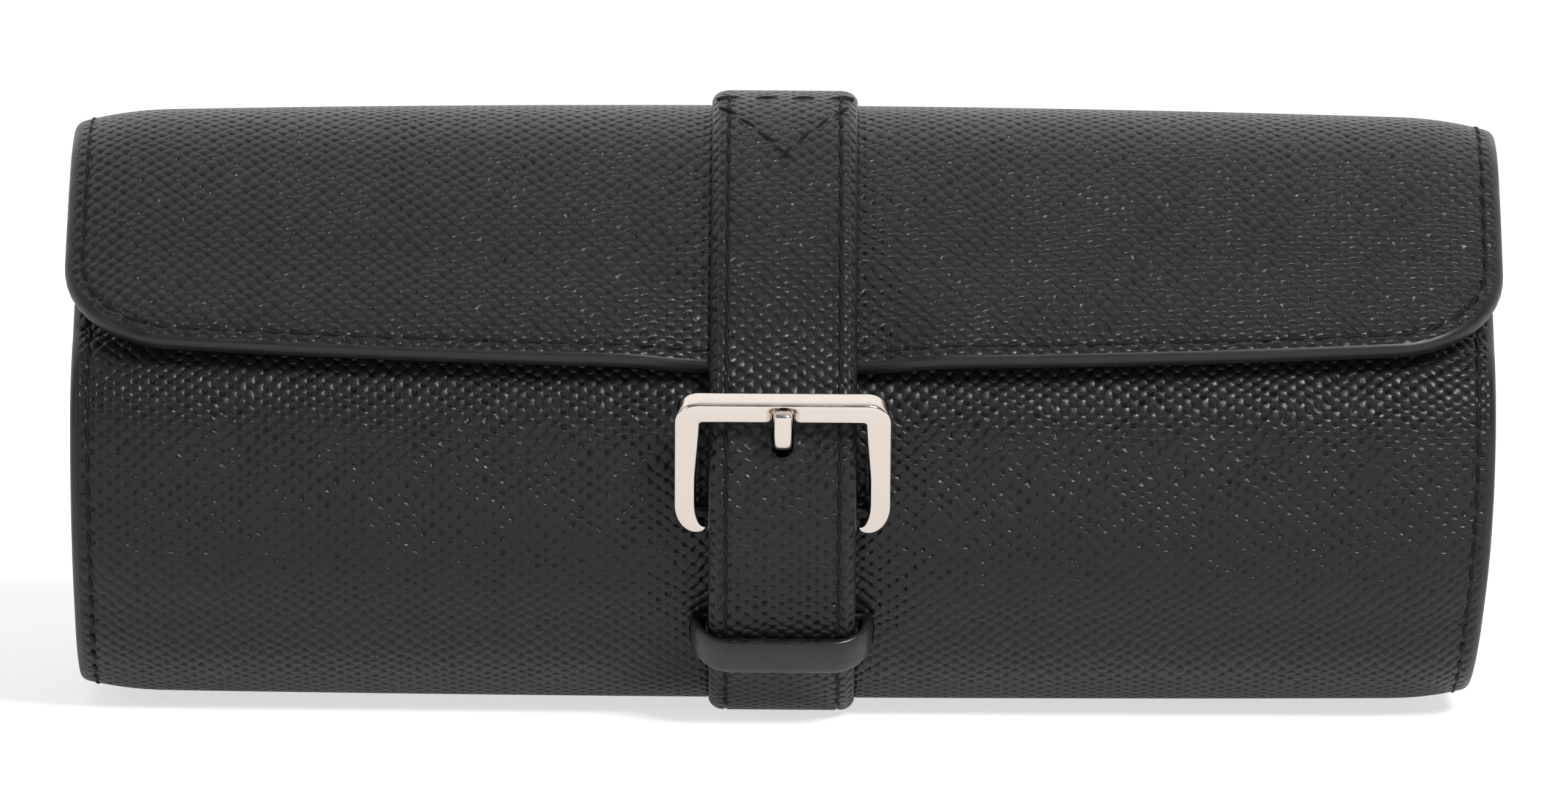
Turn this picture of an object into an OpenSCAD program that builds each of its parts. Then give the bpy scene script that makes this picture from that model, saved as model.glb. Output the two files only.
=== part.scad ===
// Leather watch roll: a round padded wrap with a flap, a buckled centre strap with a sliding
// keeper, and a removable cushion with three bays. The section is drawn with x to the front and
// y up from the middle of the roll, and swept along the length.

/* [Roll] */
// Length of the round body
body_len = 212; // [150:1:260]
// Outside radius of the round body
body_r = 43.5; // [41:0.5:50]
// How far the base is pressed flat
base_press = 1.2; // [0.6:0.1:2.4]
// Radius between the round side and the flat base
base_corner_r = 22; // [16:1:28]
// Radius on which the front lip leans in under the flap
lip_r = 18; // [15:0.5:21]
// Angle at which the front lip ends
lip_a = 66; // [52:1:70]
// How much higher the crest stands than a full round
crest_rise = 0.9; // [0:0.1:2]
// Angle of the fold between body and flap
fold_a = 115; // [108:1:122]
// Width of bare leather left to bend at the fold
fold_w = 4.6; // [3:0.2:7]

/* [Leather] */
// Thickness of the grained outer leather
outer_t = 1.1; // [0.8:0.1:1.4]
// Thickness of the stiff board inside the wrap
board_t = 1.3; // [0.8:0.1:1.6]
// Thickness of the suede lining
lining_t = 1.0; // [0.6:0.1:1.2]
// Running room between pieces that only lie on each other
gap = 0.3; // [0.2:0.05:0.4]

/* [Flap] */
// How far the flap stands past the body at each side
flap_over = 1.25; // [0.5:0.25:3]
// Radius of the crest
crest_r = 30; // [28:0.5:34]
// Angle at which the crest goes over into the flat front
crest_a = 55; // [53:1:60]
// Room between the flap and the lip under it
flap_room = 1.4; // [0.8:0.1:1.8]
// Height of the flap's edge above the middle of the roll
edge_up = 11; // [9:0.5:13]
// Radius of the flap's two corners
corner_r = 17; // [8:0.5:24]
// How much lower the flap's edge hangs at the middle than at the corners
edge_bow = 4.5; // [1:0.5:6]

/* [Strap] */
// Width of the strap and of the buckle's leather
strap_w = 22; // [18:0.5:26]
// Thickness of the strap's face leather
face_t = 1.3; // [1:0.1:1.6]
// Thickness of the strap's lining leather
back_t = 1.1; // [0.8:0.1:1.3]
// How far behind the crest the strap starts
strap_start = 5; // [2:0.5:8]
// Corner radius at the strap's sewn end
strap_corner = 3; // [1:0.5:5]
// How far past the middle of the base the strap ends
strap_end = 4; // [2:0.5:10]
// Length of the strap's rounded tip
tip_l = 18; // [10:1:24]
// Length of the hole for the tongue
hole_l = 7; // [6.8:0.1:7.5]
// Width of the hole for the tongue
hole_w = 3.2; // [3:0.1:4]

/* [Buckle] */
// Thickness of the leather that holds the buckle
chape_t = 1.0; // [0.8:0.1:1.2]
// Length of it folded back behind the heel bar
fold_back_l = 14; // [10:0.5:15]
// How far the heel bar's leather stands off the body
bar_lift = 0.6; // [0.2:0.1:0.8]
// Length of it sewn up the back of the base
chape_end_l = 10; // [4:1:20]
// Radius of the heel bar
bar_r = 1.0; // [0.9:0.05:1.2]
// Angle of the heel bar below the middle of the roll
bar_a = -13.5; // [-15:0.5:-12]
// How far the frame leans forward
frame_tilt = 29; // [28:0.5:32]
// Distance from the heel bar to the middle of the top bar
frame_l = 19.3; // [19:0.1:21]
// Height of the top bar as seen from the front
top_bar_w = 3.5; // [2.6:0.1:3.8]
// Thickness of the frame at the top bar
frame_t = 3.6; // [3:0.1:3.8]
// Thickness of the frame's arms at the heel bar
heel_t = 2.8; // [2.6:0.1:3.2]
// Width of the arms at the top
arm_w = 3.9; // [3:0.1:5]
// Width of the arms at the heel bar
arm_heel_w = 3.3; // [2.6:0.1:4]
// Room between the strap and each arm
arm_room = 1.2; // [0.6:0.1:2]
// Outer corner radius of the frame
frame_corner = 3.6; // [2:0.1:4]
// Length of the arms below the heel bar
heel_l = 3.0; // [2.4:0.1:3.2]
// Diameter of the tongue
tongue_d = 2.3; // [2:0.1:2.5]
// How deep the tongue dips under the strap
tongue_dip = 1.2; // [1:0.1:1.4]
// How far the tongue's tip reaches past the middle of the top bar
tongue_past = 1.75; // [1:0.05:2.2]

/* [Keeper] */
// Width of the keeper's band
keeper_w = 7; // [5:0.5:9]
// Thickness of the keeper's front band
keeper_t = 2.0; // [1.4:0.1:2.6]
// Thickness of the keeper's back band
keeper_back_t = 1.0; // [0.8:0.1:1.2]
// Room between the strap's edge and the keeper's side
keeper_room = 0.8; // [0.4:0.1:1.2]
// Angle at which the keeper sits below the middle of the roll
keeper_a = -43; // [-46:0.5:-42]

/* [Cushion] */
// Radius of the cushion's foam
core_r = 24.5; // [20:0.5:27]
// Thickness of the cushion's suede sleeve
sleeve_t = 1.2; // [0.8:0.1:1.6]
// Radius of the end pads
end_r = 34.5; // [30:0.5:35]
// Thickness of the end pads
end_t = 6; // [4:0.5:8]
// How far the end pads sit inside the roll's mouth
end_inset = 5; // [2:0.5:10]
// Radius of the dividers between the bays
divider_r = 33; // [29:0.5:34]
// Thickness of the dividers
divider_t = 6; // [4:0.5:8]
// How much each bay swells at its middle
bay_crown = 1.2; // [0.5:0.1:1.6]

/* [Hidden] */
$fn = 96;

// depth of each layer's two faces below the outside of the wrap
board_in = outer_t + board_t;
panel_t = board_in + lining_t;
strap_t = face_t + back_t;
slip = 0.15;

// size of the steps arcs are drawn in, and of those tighter than small_r
step_a = 3;
small_step_a = 12;
small_r = 5;
// the angle nearest to a that lies on the steps of an arc of span_a
function on_steps(a, span_a) =
    let (s = span_a / ceil(span_a / step_a)) s * max(1, round(a / s));

// the wrap's section: unit vector, and a point on an arc
function dir(a) = [cos(a), sin(a)];
function on(c, r, a) = c + r * dir(a);
function gauge(p) = sqrt(p * p);

back_r = body_r + crest_rise;
back_c = [crest_rise, 0];
base_drop = body_r - base_press;
base_a = asin((base_drop - base_corner_r) / (body_r - base_corner_r));
base_c = (body_r - base_corner_r) * [cos(base_a), -sin(base_a)];
lip_c = [body_r - lip_r, 0];
fold_half = fold_w / 2 / back_r * 180 / PI;

// the flap's front is the arc that leaves the crest smoothly and clears the lip by flap_room
crest_c = [crest_rise, back_r - crest_r];
lip_way = crest_c - lip_c;
lip_span = crest_r - panel_t - flap_room - lip_r;
front_more = (lip_way * lip_way - lip_span * lip_span)
             / (2 * (lip_way * dir(crest_a) + lip_span));
front_r = crest_r + front_more;
front_c = crest_c - front_more * dir(crest_a);
edge_a = asin((edge_up - front_c[1]) / front_r);
edge_p = on(front_c, front_r, edge_a);

// radii about the roll's middle of what lies on the body where the keeper runs
keeper_in_r = body_r + slip;
chape_r = keeper_in_r + keeper_back_t + slip;
strap_in_r = chape_r + chape_t + gap;
strap_out_r = strap_in_r + strap_t;
keeper_out_r = strap_out_r + slip;

// heel bar, and the straight run of the strap that clears the leather round it
bar_clear = 0.05;
bar_hole_r = bar_r + bar_clear;
loop_r = bar_hole_r + chape_t;
bar_round_r = keeper_in_r + bar_lift + loop_r;
bar_p = bar_round_r * dir(bar_a);
run_a = bar_a - acos((strap_in_r - loop_r - gap) / bar_round_r);
back_a = bar_a - acos((keeper_in_r + loop_r) / bar_round_r);

// one arc takes the strap from the flap's edge to that straight run
edge_top = edge_p + strap_t * dir(edge_a);
bulge_r = (strap_out_r - edge_top * dir(run_a)) / (1 - cos(edge_a - run_a));
bulge_c = edge_top - bulge_r * dir(edge_a);

// below the keeper the strap and the chape turn on to the flat base round one centre
turn_a = -60;
stack_t = strap_out_r - chape_r;
floor_drop = base_drop + stack_t;
turn_r = (base_drop - chape_r * sin(-turn_a)) / (1 - sin(-turn_a));
turn_c = (chape_r - turn_r) * dir(turn_a);

// strap's sewn end
start_a = 90 + on_steps(strap_start / back_r * 180 / PI, fold_a - fold_half - 90);
start_y = -on(back_c, back_r + strap_t, start_a)[0];
run_l = on(bulge_c, bulge_r, run_a) * dir(run_a + 90);
fold_back_a = fold_back_l / body_r * 180 / PI;
chape_end_a = on_steps(chape_end_l / body_r * 180 / PI, base_a);

// buckle frame, in its own axes
window_half = strap_w / 2 + arm_room;
frame_half = window_half + arm_w;
heel_window_half = frame_half - arm_heel_w;
boss_half = strap_w / 2 + gap;
bar_l = 2 * heel_window_half + arm_heel_w;
frame_top = frame_l + top_bar_w / 2;
edge_round = 1.1;
curl_low = 1.6;
curl_up = 3.6;

// tongue, from its eye on the heel bar, under the strap, out of its hole and over the top bar
eye_wall = 0.85;
eye_r = bar_r + eye_wall;
tongue_clear = 0.1;
tongue_over = frame_t / 2 + tongue_d / 2 + tongue_clear;
tongue_tip = frame_l + tongue_past;
low_share = 0.31;
rise_share = 0.6;
knee_room = 0.75;
tongue_path = [[0, 0], [low_share * frame_l, -tongue_dip], [rise_share * frame_l, -tongue_dip / 2],
               [frame_l - top_bar_w / 2 - knee_room, tongue_over],
               [tongue_tip + tongue_d, tongue_over]];
cross_share = 0.12;
tongue_cross = (1 - cross_share) * tongue_path[2] + cross_share * tongue_path[3];
frame_up = [sin(frame_tilt), cos(frame_tilt)];
frame_out = [cos(frame_tilt), -sin(frame_tilt)];
cross_p = bar_p + tongue_cross[0] * frame_up + tongue_cross[1] * frame_out - bulge_c;
hole_a = atan2(cross_p[1], cross_p[0]);

// keeper
keeper_span = keeper_w / strap_out_r * 180 / PI;
keeper_face_r = keeper_out_r + keeper_t;
keeper_half = strap_w / 2 + keeper_room + keeper_t;
keeper_soft = 0.85;
keeper_round = keeper_t * keeper_soft;

// cushion
cushion_drop = base_drop - panel_t - end_r - gap;
sleeve_r = core_r + sleeve_t;
end_face = body_len / 2 - end_inset;
bay_l = (2 * (end_face - end_t) - 2 * divider_t) / 3;
divider_x = bay_l / 2 + divider_t / 2;
disc_soft = 0.4;

far = 4 * body_r;
flap_w = body_len + 2 * flap_over;
front_mid_a = (edge_a + crest_a) / 2;

// places a section drawn in x to the front and y up, and sweeps it w along the length
module along(w) {
    translate([0, 0, floor_drop]) rotate([90, 0, -90]) linear_extrude(w, center = true) children();
}

// turns a radial profile about a line along the roll, from angle a0 to a1
module around(c, a0, a1) {
    translate([0, -c[0], floor_drop + c[1]]) rotate([90, 0, -90]) rotate([0, 0, a0])
        rotate_extrude(angle = a1 - a0) children();
}

// points of an arc about c
function arc_points(c, r, a0, a1, n) = [for (i = [0:n]) on(c, r, a0 + (a1 - a0) * i / n)];

// A path is a list of arcs [centre, radius, from, to], and straight where one ends short of the
// next. A negative radius stands for an arc that bends the other way.
function arc_steps(k) =
    max(1, ceil(abs(k[3] - k[2]) / (abs(k[1]) < small_r ? small_step_a : step_a)));
function path_points(path, d) =
    [for (k = path) each arc_points(k[0], k[1] - d, k[2], k[3], arc_steps(k))];
function thinned(p) = [for (i = [0:len(p) - 1]) if (i == 0 || gauge(p[i] - p[i - 1]) > 0.01) p[i]];
function reversed(p) = [for (i = [len(p) - 1:-1:0]) p[i]];

// the layer between depths d and d + t below a path
module layer(path, d, t) {
    polygon(concat(thinned(path_points(path, d)), reversed(thinned(path_points(path, d + t)))));
}

// outside of the body, from the front lip under the base to the fold
body_path = [
    [lip_c, lip_r, lip_a, 0],
    [[0, 0], body_r, 0, -base_a],
    [base_c, base_corner_r, -base_a, -90],
    [[-base_c[0], base_c[1]], base_corner_r, -90, base_a - 180],
    [[0, 0], body_r, base_a - 180, -180],
    [back_c, back_r, -180, fold_a + fold_half - 360]
];
fold_path = [[back_c, back_r, fold_a + fold_half, fold_a - fold_half]];
flap_path = [
    [back_c, back_r, fold_a - fold_half, 90],
    [crest_c, crest_r, 90, crest_a],
    [front_c, front_r, crest_a, edge_a]
];

// the flap seen square to its front: round corners and a bowed edge, with the edge at y = 0
bow_r = (pow(flap_w / 2, 2) + pow(edge_bow, 2)) / (2 * edge_bow);
bow_x = flap_w / 2 - corner_r;
bow_a = asin(bow_x / (bow_r - corner_r));
bow_y = bow_r - (bow_r - corner_r) * cos(bow_a);
module flap_outline() {
    polygon(concat(
        arc_points([bow_x, bow_y], corner_r, 0, bow_a - 90, 10),
        arc_points([0, bow_r], bow_r, bow_a - 90, -bow_a - 90, 16),
        arc_points([-bow_x, bow_y], corner_r, -bow_a - 90, -180, 10),
        [[-flap_w / 2, far], [flap_w / 2, far]]
    ));
}

// stands a drawing on the section's point p, square to direction a, as a cutter
module facing(p, a, depth) {
    translate([0, -p[0], floor_drop + p[1]]) rotate([90 - a, 0, 0])
        linear_extrude(depth, center = true) children();
}

module flap_layer(d, t) {
    intersection() {
        along(flap_w) layer(flap_path, d, t);
        facing(edge_p, front_mid_a, far) flap_outline();
    }
}

// face of the strap, from its sewn end over the flap and through the buckle to its tip
strap_path = [
    [back_c, back_r + strap_t, start_a, 90],
    [crest_c, crest_r + strap_t, 90, crest_a],
    [front_c, front_r + strap_t, crest_a, edge_a],
    [bulge_c, bulge_r, edge_a, run_a],
    [[0, 0], strap_out_r, run_a, turn_a],
    [turn_c, turn_r + stack_t, turn_a, -90],
    [[-strap_end, 0], floor_drop, -90, -90]
];

// face of the leather that holds the buckle: from its end folded back behind the heel bar,
// round the bar, through the keeper and under the base
chape_path = [
    [[0, 0], -keeper_in_r, bar_a - fold_back_a + 180, back_a + 180],
    [bar_p, loop_r, back_a + 180, run_a],
    [[0, 0], chape_r + chape_t, run_a, turn_a],
    [turn_c, turn_r + chape_t, turn_a, -90],
    [[-base_c[0], base_c[1]], base_corner_r + chape_t, -90, base_a - 180],
    [[0, 0], body_r + chape_t, base_a - 180, base_a - 180 - chape_end_a]
];

// what is cut away beside the rounded tip, in plan
module tip_waste() {
    for (s = [-1, 1])
        polygon(concat(
            [for (i = [0:12]) let (a = 90 * i / 12)
                [s * strap_w / 2 * cos(a), strap_end + tip_l * (sin(a) - 1)]],
            [[0, strap_end + 1], [s * strap_w, strap_end + 1], [s * strap_w, strap_end - tip_l]]
        ));
}

// what is cut away at the two corners of the sewn end, in plan
module start_waste() {
    for (s = [-1, 1])
        polygon(concat(
            [for (i = [0:6]) let (a = 90 * i / 6)
                [s * (strap_w / 2 + strap_corner * (cos(a) - 1)),
                 start_y + strap_corner * (sin(a) - 1)]],
            [[s * (strap_w / 2 - strap_corner), start_y + 1], [s * strap_w, start_y + 1],
             [s * strap_w, start_y - strap_corner]]
        ));
}

// the oval hole that the tongue comes through
module tongue_hole() {
    straight = hole_l - hole_w;
    facing(on(bulge_c, bulge_r, hole_a), hole_a, 4 * strap_t) {
        square([hole_w, straight], center = true);
        for (s = [-1, 1]) translate([0, s * straight / 2]) circle(hole_w / 2);
    }
}

module strap_layer(d, t) {
    difference() {
        along(strap_w) layer(strap_path, d, t);
        tongue_hole();
        translate([0, 0, -1]) linear_extrude(turn_r / 2) tip_waste();
        translate([0, 0, floor_drop]) linear_extrude(far) start_waste();
    }
}

module chape() color("#1f1f21")
    difference() {
        along(strap_w) layer(chape_path, 0, chape_t);
        along(tongue_d + 2 * gap) translate(bar_p) circle(loop_r + gap);
    }

// the buckle's own axes: x along the roll, y up the frame from the heel bar, z out of it
module on_buckle() {
    translate([0, -bar_p[0], floor_drop + bar_p[1]]) rotate([90 + frame_tilt, 0, 0]) children();
}

// sweeps a drawing made in the buckle's y and z along the roll
module across(w) {
    rotate([90, 0, 90]) linear_extrude(w, center = true) children();
}

// corner points of a rounded rectangle about c
function rounded_points(c, w, h, r, n) = [
    for (k = [0:3]) let (x = k == 0 || k == 3 ? 1 : -1, y = k < 2 ? 1 : -1)
        each arc_points(c + [x * (w / 2 - r), y * (h / 2 - r)], r, 90 * k, 90 * (k + 1), n)
];
module rounded(w, h, r) {
    polygon(rounded_points([0, 0], w, h, r, 6));
}

// the frame from the front: arms that narrow to the heel, and curl in to the bar
module frame_front() {
    difference() {
        polygon(rounded_points([0, (frame_top - heel_l) / 2], 2 * frame_half, frame_top + heel_l,
                               frame_corner, 10));
        polygon([[-window_half, frame_l - top_bar_w / 2], [window_half, frame_l - top_bar_w / 2],
                 [heel_window_half, curl_up], [boss_half, curl_low], [boss_half, -far],
                 [-boss_half, -far], [-boss_half, curl_low], [-heel_window_half, curl_up]]);
    }
}

// the frame from the side: thin at the heel, thick at the top bar, with round edges
module frame_side() {
    polygon(concat(
        arc_points([heel_t / 2 - heel_l, 0], heel_t / 2, 270, 90, 10),
        arc_points([frame_top - edge_round, frame_t / 2 - edge_round], edge_round, 90, 0, 6),
        arc_points([frame_top - edge_round, edge_round - frame_t / 2], edge_round, 0, -90, 6)
    ));
}

module buckle_frame() color("#d9d2cb") on_buckle()
    difference() {
        intersection() {
            linear_extrude(frame_t + 1, center = true) frame_front();
            across(2 * frame_half + 1) frame_side();
            rotate([90, 0, 0]) linear_extrude(far, center = true)
                rounded(2 * frame_half, frame_t, edge_round);
        }
        across(bar_l) circle(bar_r);
    }

module heel_bar() color("#b9b4ae") on_buckle() across(bar_l) circle(bar_r);

// the line h to one side of the polyline p, with its corners mitred
function aside(p, h) = [
    for (i = [0:len(p) - 1])
        let (a = square_to(p[max(i, 1)] - p[max(i, 1) - 1]),
             b = square_to(p[min(i + 1, len(p) - 1)] - p[min(i, len(p) - 2)]))
        p[i] + h * (a + b) / (1 + a * b)
];
function square_to(v) = [-v[1], v[0]] / gauge(v);

function tail(p) = [for (i = [1:len(p) - 1]) p[i]];

// the tongue from the side: its eye round the bar, and its bent arm
lead_a = atan2(tongue_path[1][1], tongue_path[1][0]);
neck_a = asin(tongue_d / 2 / eye_r);
module tongue_side() {
    difference() {
        polygon(concat(arc_points([0, 0], eye_r, lead_a + neck_a, lead_a + 360 - neck_a, 30),
                       tail(aside(tongue_path, -tongue_d / 2)),
                       reversed(tail(aside(tongue_path, tongue_d / 2)))));
        circle(bar_hole_r);
    }
}

module buckle_tongue() color("#d9d2cb") on_buckle()
    intersection() {
        across(tongue_d) tongue_side();
        linear_extrude(far, center = true)
            polygon(concat([[-tongue_d, -2 * eye_r], [tongue_d, -2 * eye_r], [tongue_d, tongue_tip]],
                           arc_points([0, tongue_tip], tongue_d / 2, 0, 180, 12),
                           [[-tongue_d, tongue_tip]]));
    }

// the floating loop that holds the strap's end
module keeper() color("#26272a")
    around([0, 0], keeper_a - keeper_span / 2, keeper_a + keeper_span / 2)
        difference() {
            translate([(keeper_in_r + keeper_face_r) / 2, 0])
                rounded(keeper_face_r - keeper_in_r, 2 * keeper_half, keeper_round);
            translate([keeper_in_r + keeper_back_t, -strap_w / 2 - keeper_room])
                square([keeper_out_r - keeper_in_r - keeper_back_t, strap_w + 2 * keeper_room]);
        }

// turns a profile with x outwards and y along the roll about the cushion's axis
module on_cushion() {
    around([0, -cushion_drop], 0, 360) children();
}

// a disc's rim profile from radius r0 to r1, t thick, with a soft edge
module disc_profile(r0, r1, t, x) {
    soft = t * disc_soft;
    translate([r0, x - t / 2]) square([r1 - r0 - soft, t]);
    translate([r0, x - t / 2 + soft]) square([r1 - r0, t - 2 * soft]);
    for (s = [-1, 1]) translate([r1 - soft, x + s * (t / 2 - soft)]) circle(soft);
}

// one bay of the sleeve, swollen at its middle
module bay_profile(x) {
    swell_r = (pow(bay_l / 2, 2) + pow(bay_crown, 2)) / (2 * bay_crown);
    half = asin(bay_l / 2 / swell_r);
    polygon(concat([[core_r, x - bay_l / 2]],
                   arc_points([sleeve_r + bay_crown - swell_r, x], swell_r, -half, half, 12),
                   [[core_r, x + bay_l / 2]]));
}

module cushion_core() color("#8a8373")
    on_cushion() translate([0, -end_face + end_t]) square([core_r, 2 * (end_face - end_t)]);

module cushion_sleeve() color("#5a5a5d")
    on_cushion() {
        for (i = [-1:1]) bay_profile(i * (bay_l + divider_t));
        for (s = [-1, 1]) translate([core_r, s * divider_x - divider_t / 2]) square([sleeve_t, divider_t]);
    }

module end_pad(s) color("#2c2d30") on_cushion() disc_profile(0, end_r, end_t, s * (end_face - end_t / 2));
module divider(s) color("#5a5a5d") on_cushion() disc_profile(sleeve_r, divider_r, divider_t, s * divider_x);

module body_outer() color("#2c2d30") along(body_len) layer(body_path, 0, outer_t);
module body_board() color("#6d6253") along(body_len) layer(body_path, outer_t, board_t);
module body_lining() color("#4a4a4d") along(body_len) layer(body_path, board_in, lining_t);
module fold_outer() color("#2c2d30") along(body_len) layer(fold_path, 0, outer_t);
module fold_lining() color("#4a4a4d") along(body_len) layer(fold_path, board_in, lining_t);
module flap_outer() color("#2c2d30") flap_layer(0, outer_t);
module flap_board() color("#6d6253") flap_layer(outer_t, board_t);
module flap_lining() color("#4a4a4d") flap_layer(board_in, lining_t);
module strap_face() color("#2f3033") strap_layer(0, face_t);
module strap_lining() color("#1f1f21") strap_layer(face_t, back_t);
module end_pad_left() end_pad(1);
module end_pad_right() end_pad(-1);
module divider_left() divider(1);
module divider_right() divider(-1);

body_outer();
body_board();
body_lining();
fold_outer();
fold_lining();
flap_outer();
flap_board();
flap_lining();
strap_face();
strap_lining();
chape();
buckle_frame();
heel_bar();
buckle_tongue();
keeper();
cushion_core();
cushion_sleeve();
end_pad_left();
end_pad_right();
divider_left();
divider_right();
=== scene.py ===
"""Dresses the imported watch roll: leather, suede, seams, polished buckle, keeper and cushion."""

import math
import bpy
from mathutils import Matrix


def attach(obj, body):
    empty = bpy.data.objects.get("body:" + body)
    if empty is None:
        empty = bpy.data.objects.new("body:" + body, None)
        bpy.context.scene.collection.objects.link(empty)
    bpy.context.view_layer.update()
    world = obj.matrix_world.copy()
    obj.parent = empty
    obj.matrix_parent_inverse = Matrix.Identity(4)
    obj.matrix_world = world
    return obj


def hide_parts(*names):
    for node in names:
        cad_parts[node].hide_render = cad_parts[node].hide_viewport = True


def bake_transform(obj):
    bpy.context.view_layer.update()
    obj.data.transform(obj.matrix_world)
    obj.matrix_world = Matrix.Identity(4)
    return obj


bl_info = {
    "name": "Watch roll",
    "version": (1, 0, 0),
    "blender": (4, 5, 0),
    "location": "3D View > Sidebar > Watch roll",
    "description": "Builds the leather, seams, buckle and cushion of a watch roll round its frame",
    "category": "Add Mesh",
}

import bmesh
import bpy
import numpy as np
from bpy.props import FloatProperty, FloatVectorProperty, PointerProperty
from mathutils import Vector, noise

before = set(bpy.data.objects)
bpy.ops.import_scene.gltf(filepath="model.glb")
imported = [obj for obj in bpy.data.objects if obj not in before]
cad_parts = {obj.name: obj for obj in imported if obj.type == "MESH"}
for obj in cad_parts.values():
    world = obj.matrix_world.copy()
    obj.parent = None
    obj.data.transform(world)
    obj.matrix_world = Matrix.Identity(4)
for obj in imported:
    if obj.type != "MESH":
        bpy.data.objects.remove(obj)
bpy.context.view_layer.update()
MM = 0.001


def linear(code):
    """An sRGB hex colour as linear red, green, blue."""
    parts = [int(code[i : i + 2], 16) / 255 for i in (1, 3, 5)]
    return tuple(c / 12.92 if c <= 0.04045 else ((c + 0.055) / 1.055) ** 2.4 for c in parts)


def length(name, mm, text):
    return FloatProperty(name=name, description=text, default=mm * MM, unit="LENGTH", precision=5)


def degrees(name, angle, text):
    return FloatProperty(name=name, description=text, default=math.radians(angle), subtype="ANGLE")


def colour(name, code, text):
    return FloatVectorProperty(name=name, description=text, default=linear(code), subtype="COLOR",
                               size=3, min=0, max=1)


class WatchRollSizes(bpy.types.PropertyGroup):
    """Sizes of the wrap, the strap and what sits on them."""

    body_len: length("Body length", 212, "Length of the round body")
    body_r: length("Body radius", 43.5, "Outside radius of the round body")
    base_press: length("Base press", 1.2, "How far the base is pressed flat")
    base_corner_r: length("Base corner", 22, "Radius between the round side and the flat base")
    lip_r: length("Lip radius", 18, "Radius on which the front lip leans in")
    lip_a: degrees("Lip angle", 66, "Angle at which the front lip ends")
    lip_more: length("Lip end", 4.6, "How much further the lip runs on close under the flap")
    crest_rise: length("Crest rise", 0.9, "How much higher the crest stands than a full round")
    fold_a: degrees("Fold angle", 115, "Angle of the fold between body and flap")
    fold_w: length("Fold width", 4.6, "Bare leather left to bend at the fold")
    outer_t: length("Outer leather", 1.1, "Thickness of the grained leather")
    board_t: length("Board", 1.3, "Thickness of the board inside the wrap")
    lining_t: length("Lining", 1.0, "Thickness of the suede lining")
    flap_over: length("Flap overhang", 1.25, "How far the flap stands past the body at each side")
    crest_r: length("Crest radius", 30, "Radius of the crest")
    crest_a: degrees("Crest angle", 55, "Angle at which the crest goes over into the front")
    flap_room: length("Flap room", 1.4, "Room between the flap and the lip under it")
    edge_up: length("Edge height", 11, "Height of the flap's edge above the middle of the roll")
    corner_r: length("Flap corner", 17, "Radius of the flap's two corners")
    flap_flare: length("Flap flare", 1.7, "How far the flap's edge stands off beside the strap")
    edge_bow: length("Edge bow", 4.5, "How much lower the flap's edge hangs at its middle")
    strap_w: length("Strap width", 22, "Width of the strap and of the buckle's leather")
    strap_t: length("Strap thickness", 2.4, "Face and lining leather together")
    strap_start_a: degrees("Strap start", 95.508, "Angle at which the strap is sewn on")
    strap_end: length("Strap end", 4, "How far past the middle of the base the strap ends")
    tip_l: length("Tip length", 18, "Length of the strap's rounded tip")
    hole_l: length("Hole length", 5.6, "Length of the hole for the tongue")
    hole_a: degrees("Hole angle", 6.3, "Where the hole lies round the strap's bulge")
    hole_w: length("Hole width", 3.2, "Width of the hole for the tongue")
    chape_t: length("Buckle leather", 1.0, "Thickness of the leather that holds the buckle")
    chape_back_l: length("Back end", 14, "How far the buckle's leather runs back above the bar")
    chape_base_l: length("Base end", 10, "How far the buckle's leather runs past the middle of the base")
    end_pinch: length("End pinch", 1.5, "How far the roll's two ends are drawn in")
    barrel: length("Barrel", 1.5, "How much slimmer the roll is at its ends than in its middle")
    base_sag: length("Base sag", 2.25, "How far the leather beside the strap sags at the base")
    end_lean: length("End lean", 2.0, "How far the foot of the right end has worked inwards")
    stitch_pitch: length("Stitch pitch", 4.2, "Distance from one stitch to the next")
    cross_row_s: length("Cross row", 9.3, "Distance of the row across the strap from its sewn end")
    vee_s: length("Vee", 15, "Distance of the pointed row's two ends from the strap's sewn end")
    vee_tip_s: length("Vee tip", 26, "Distance of the pointed row's tip from the strap's sewn end")


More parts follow.
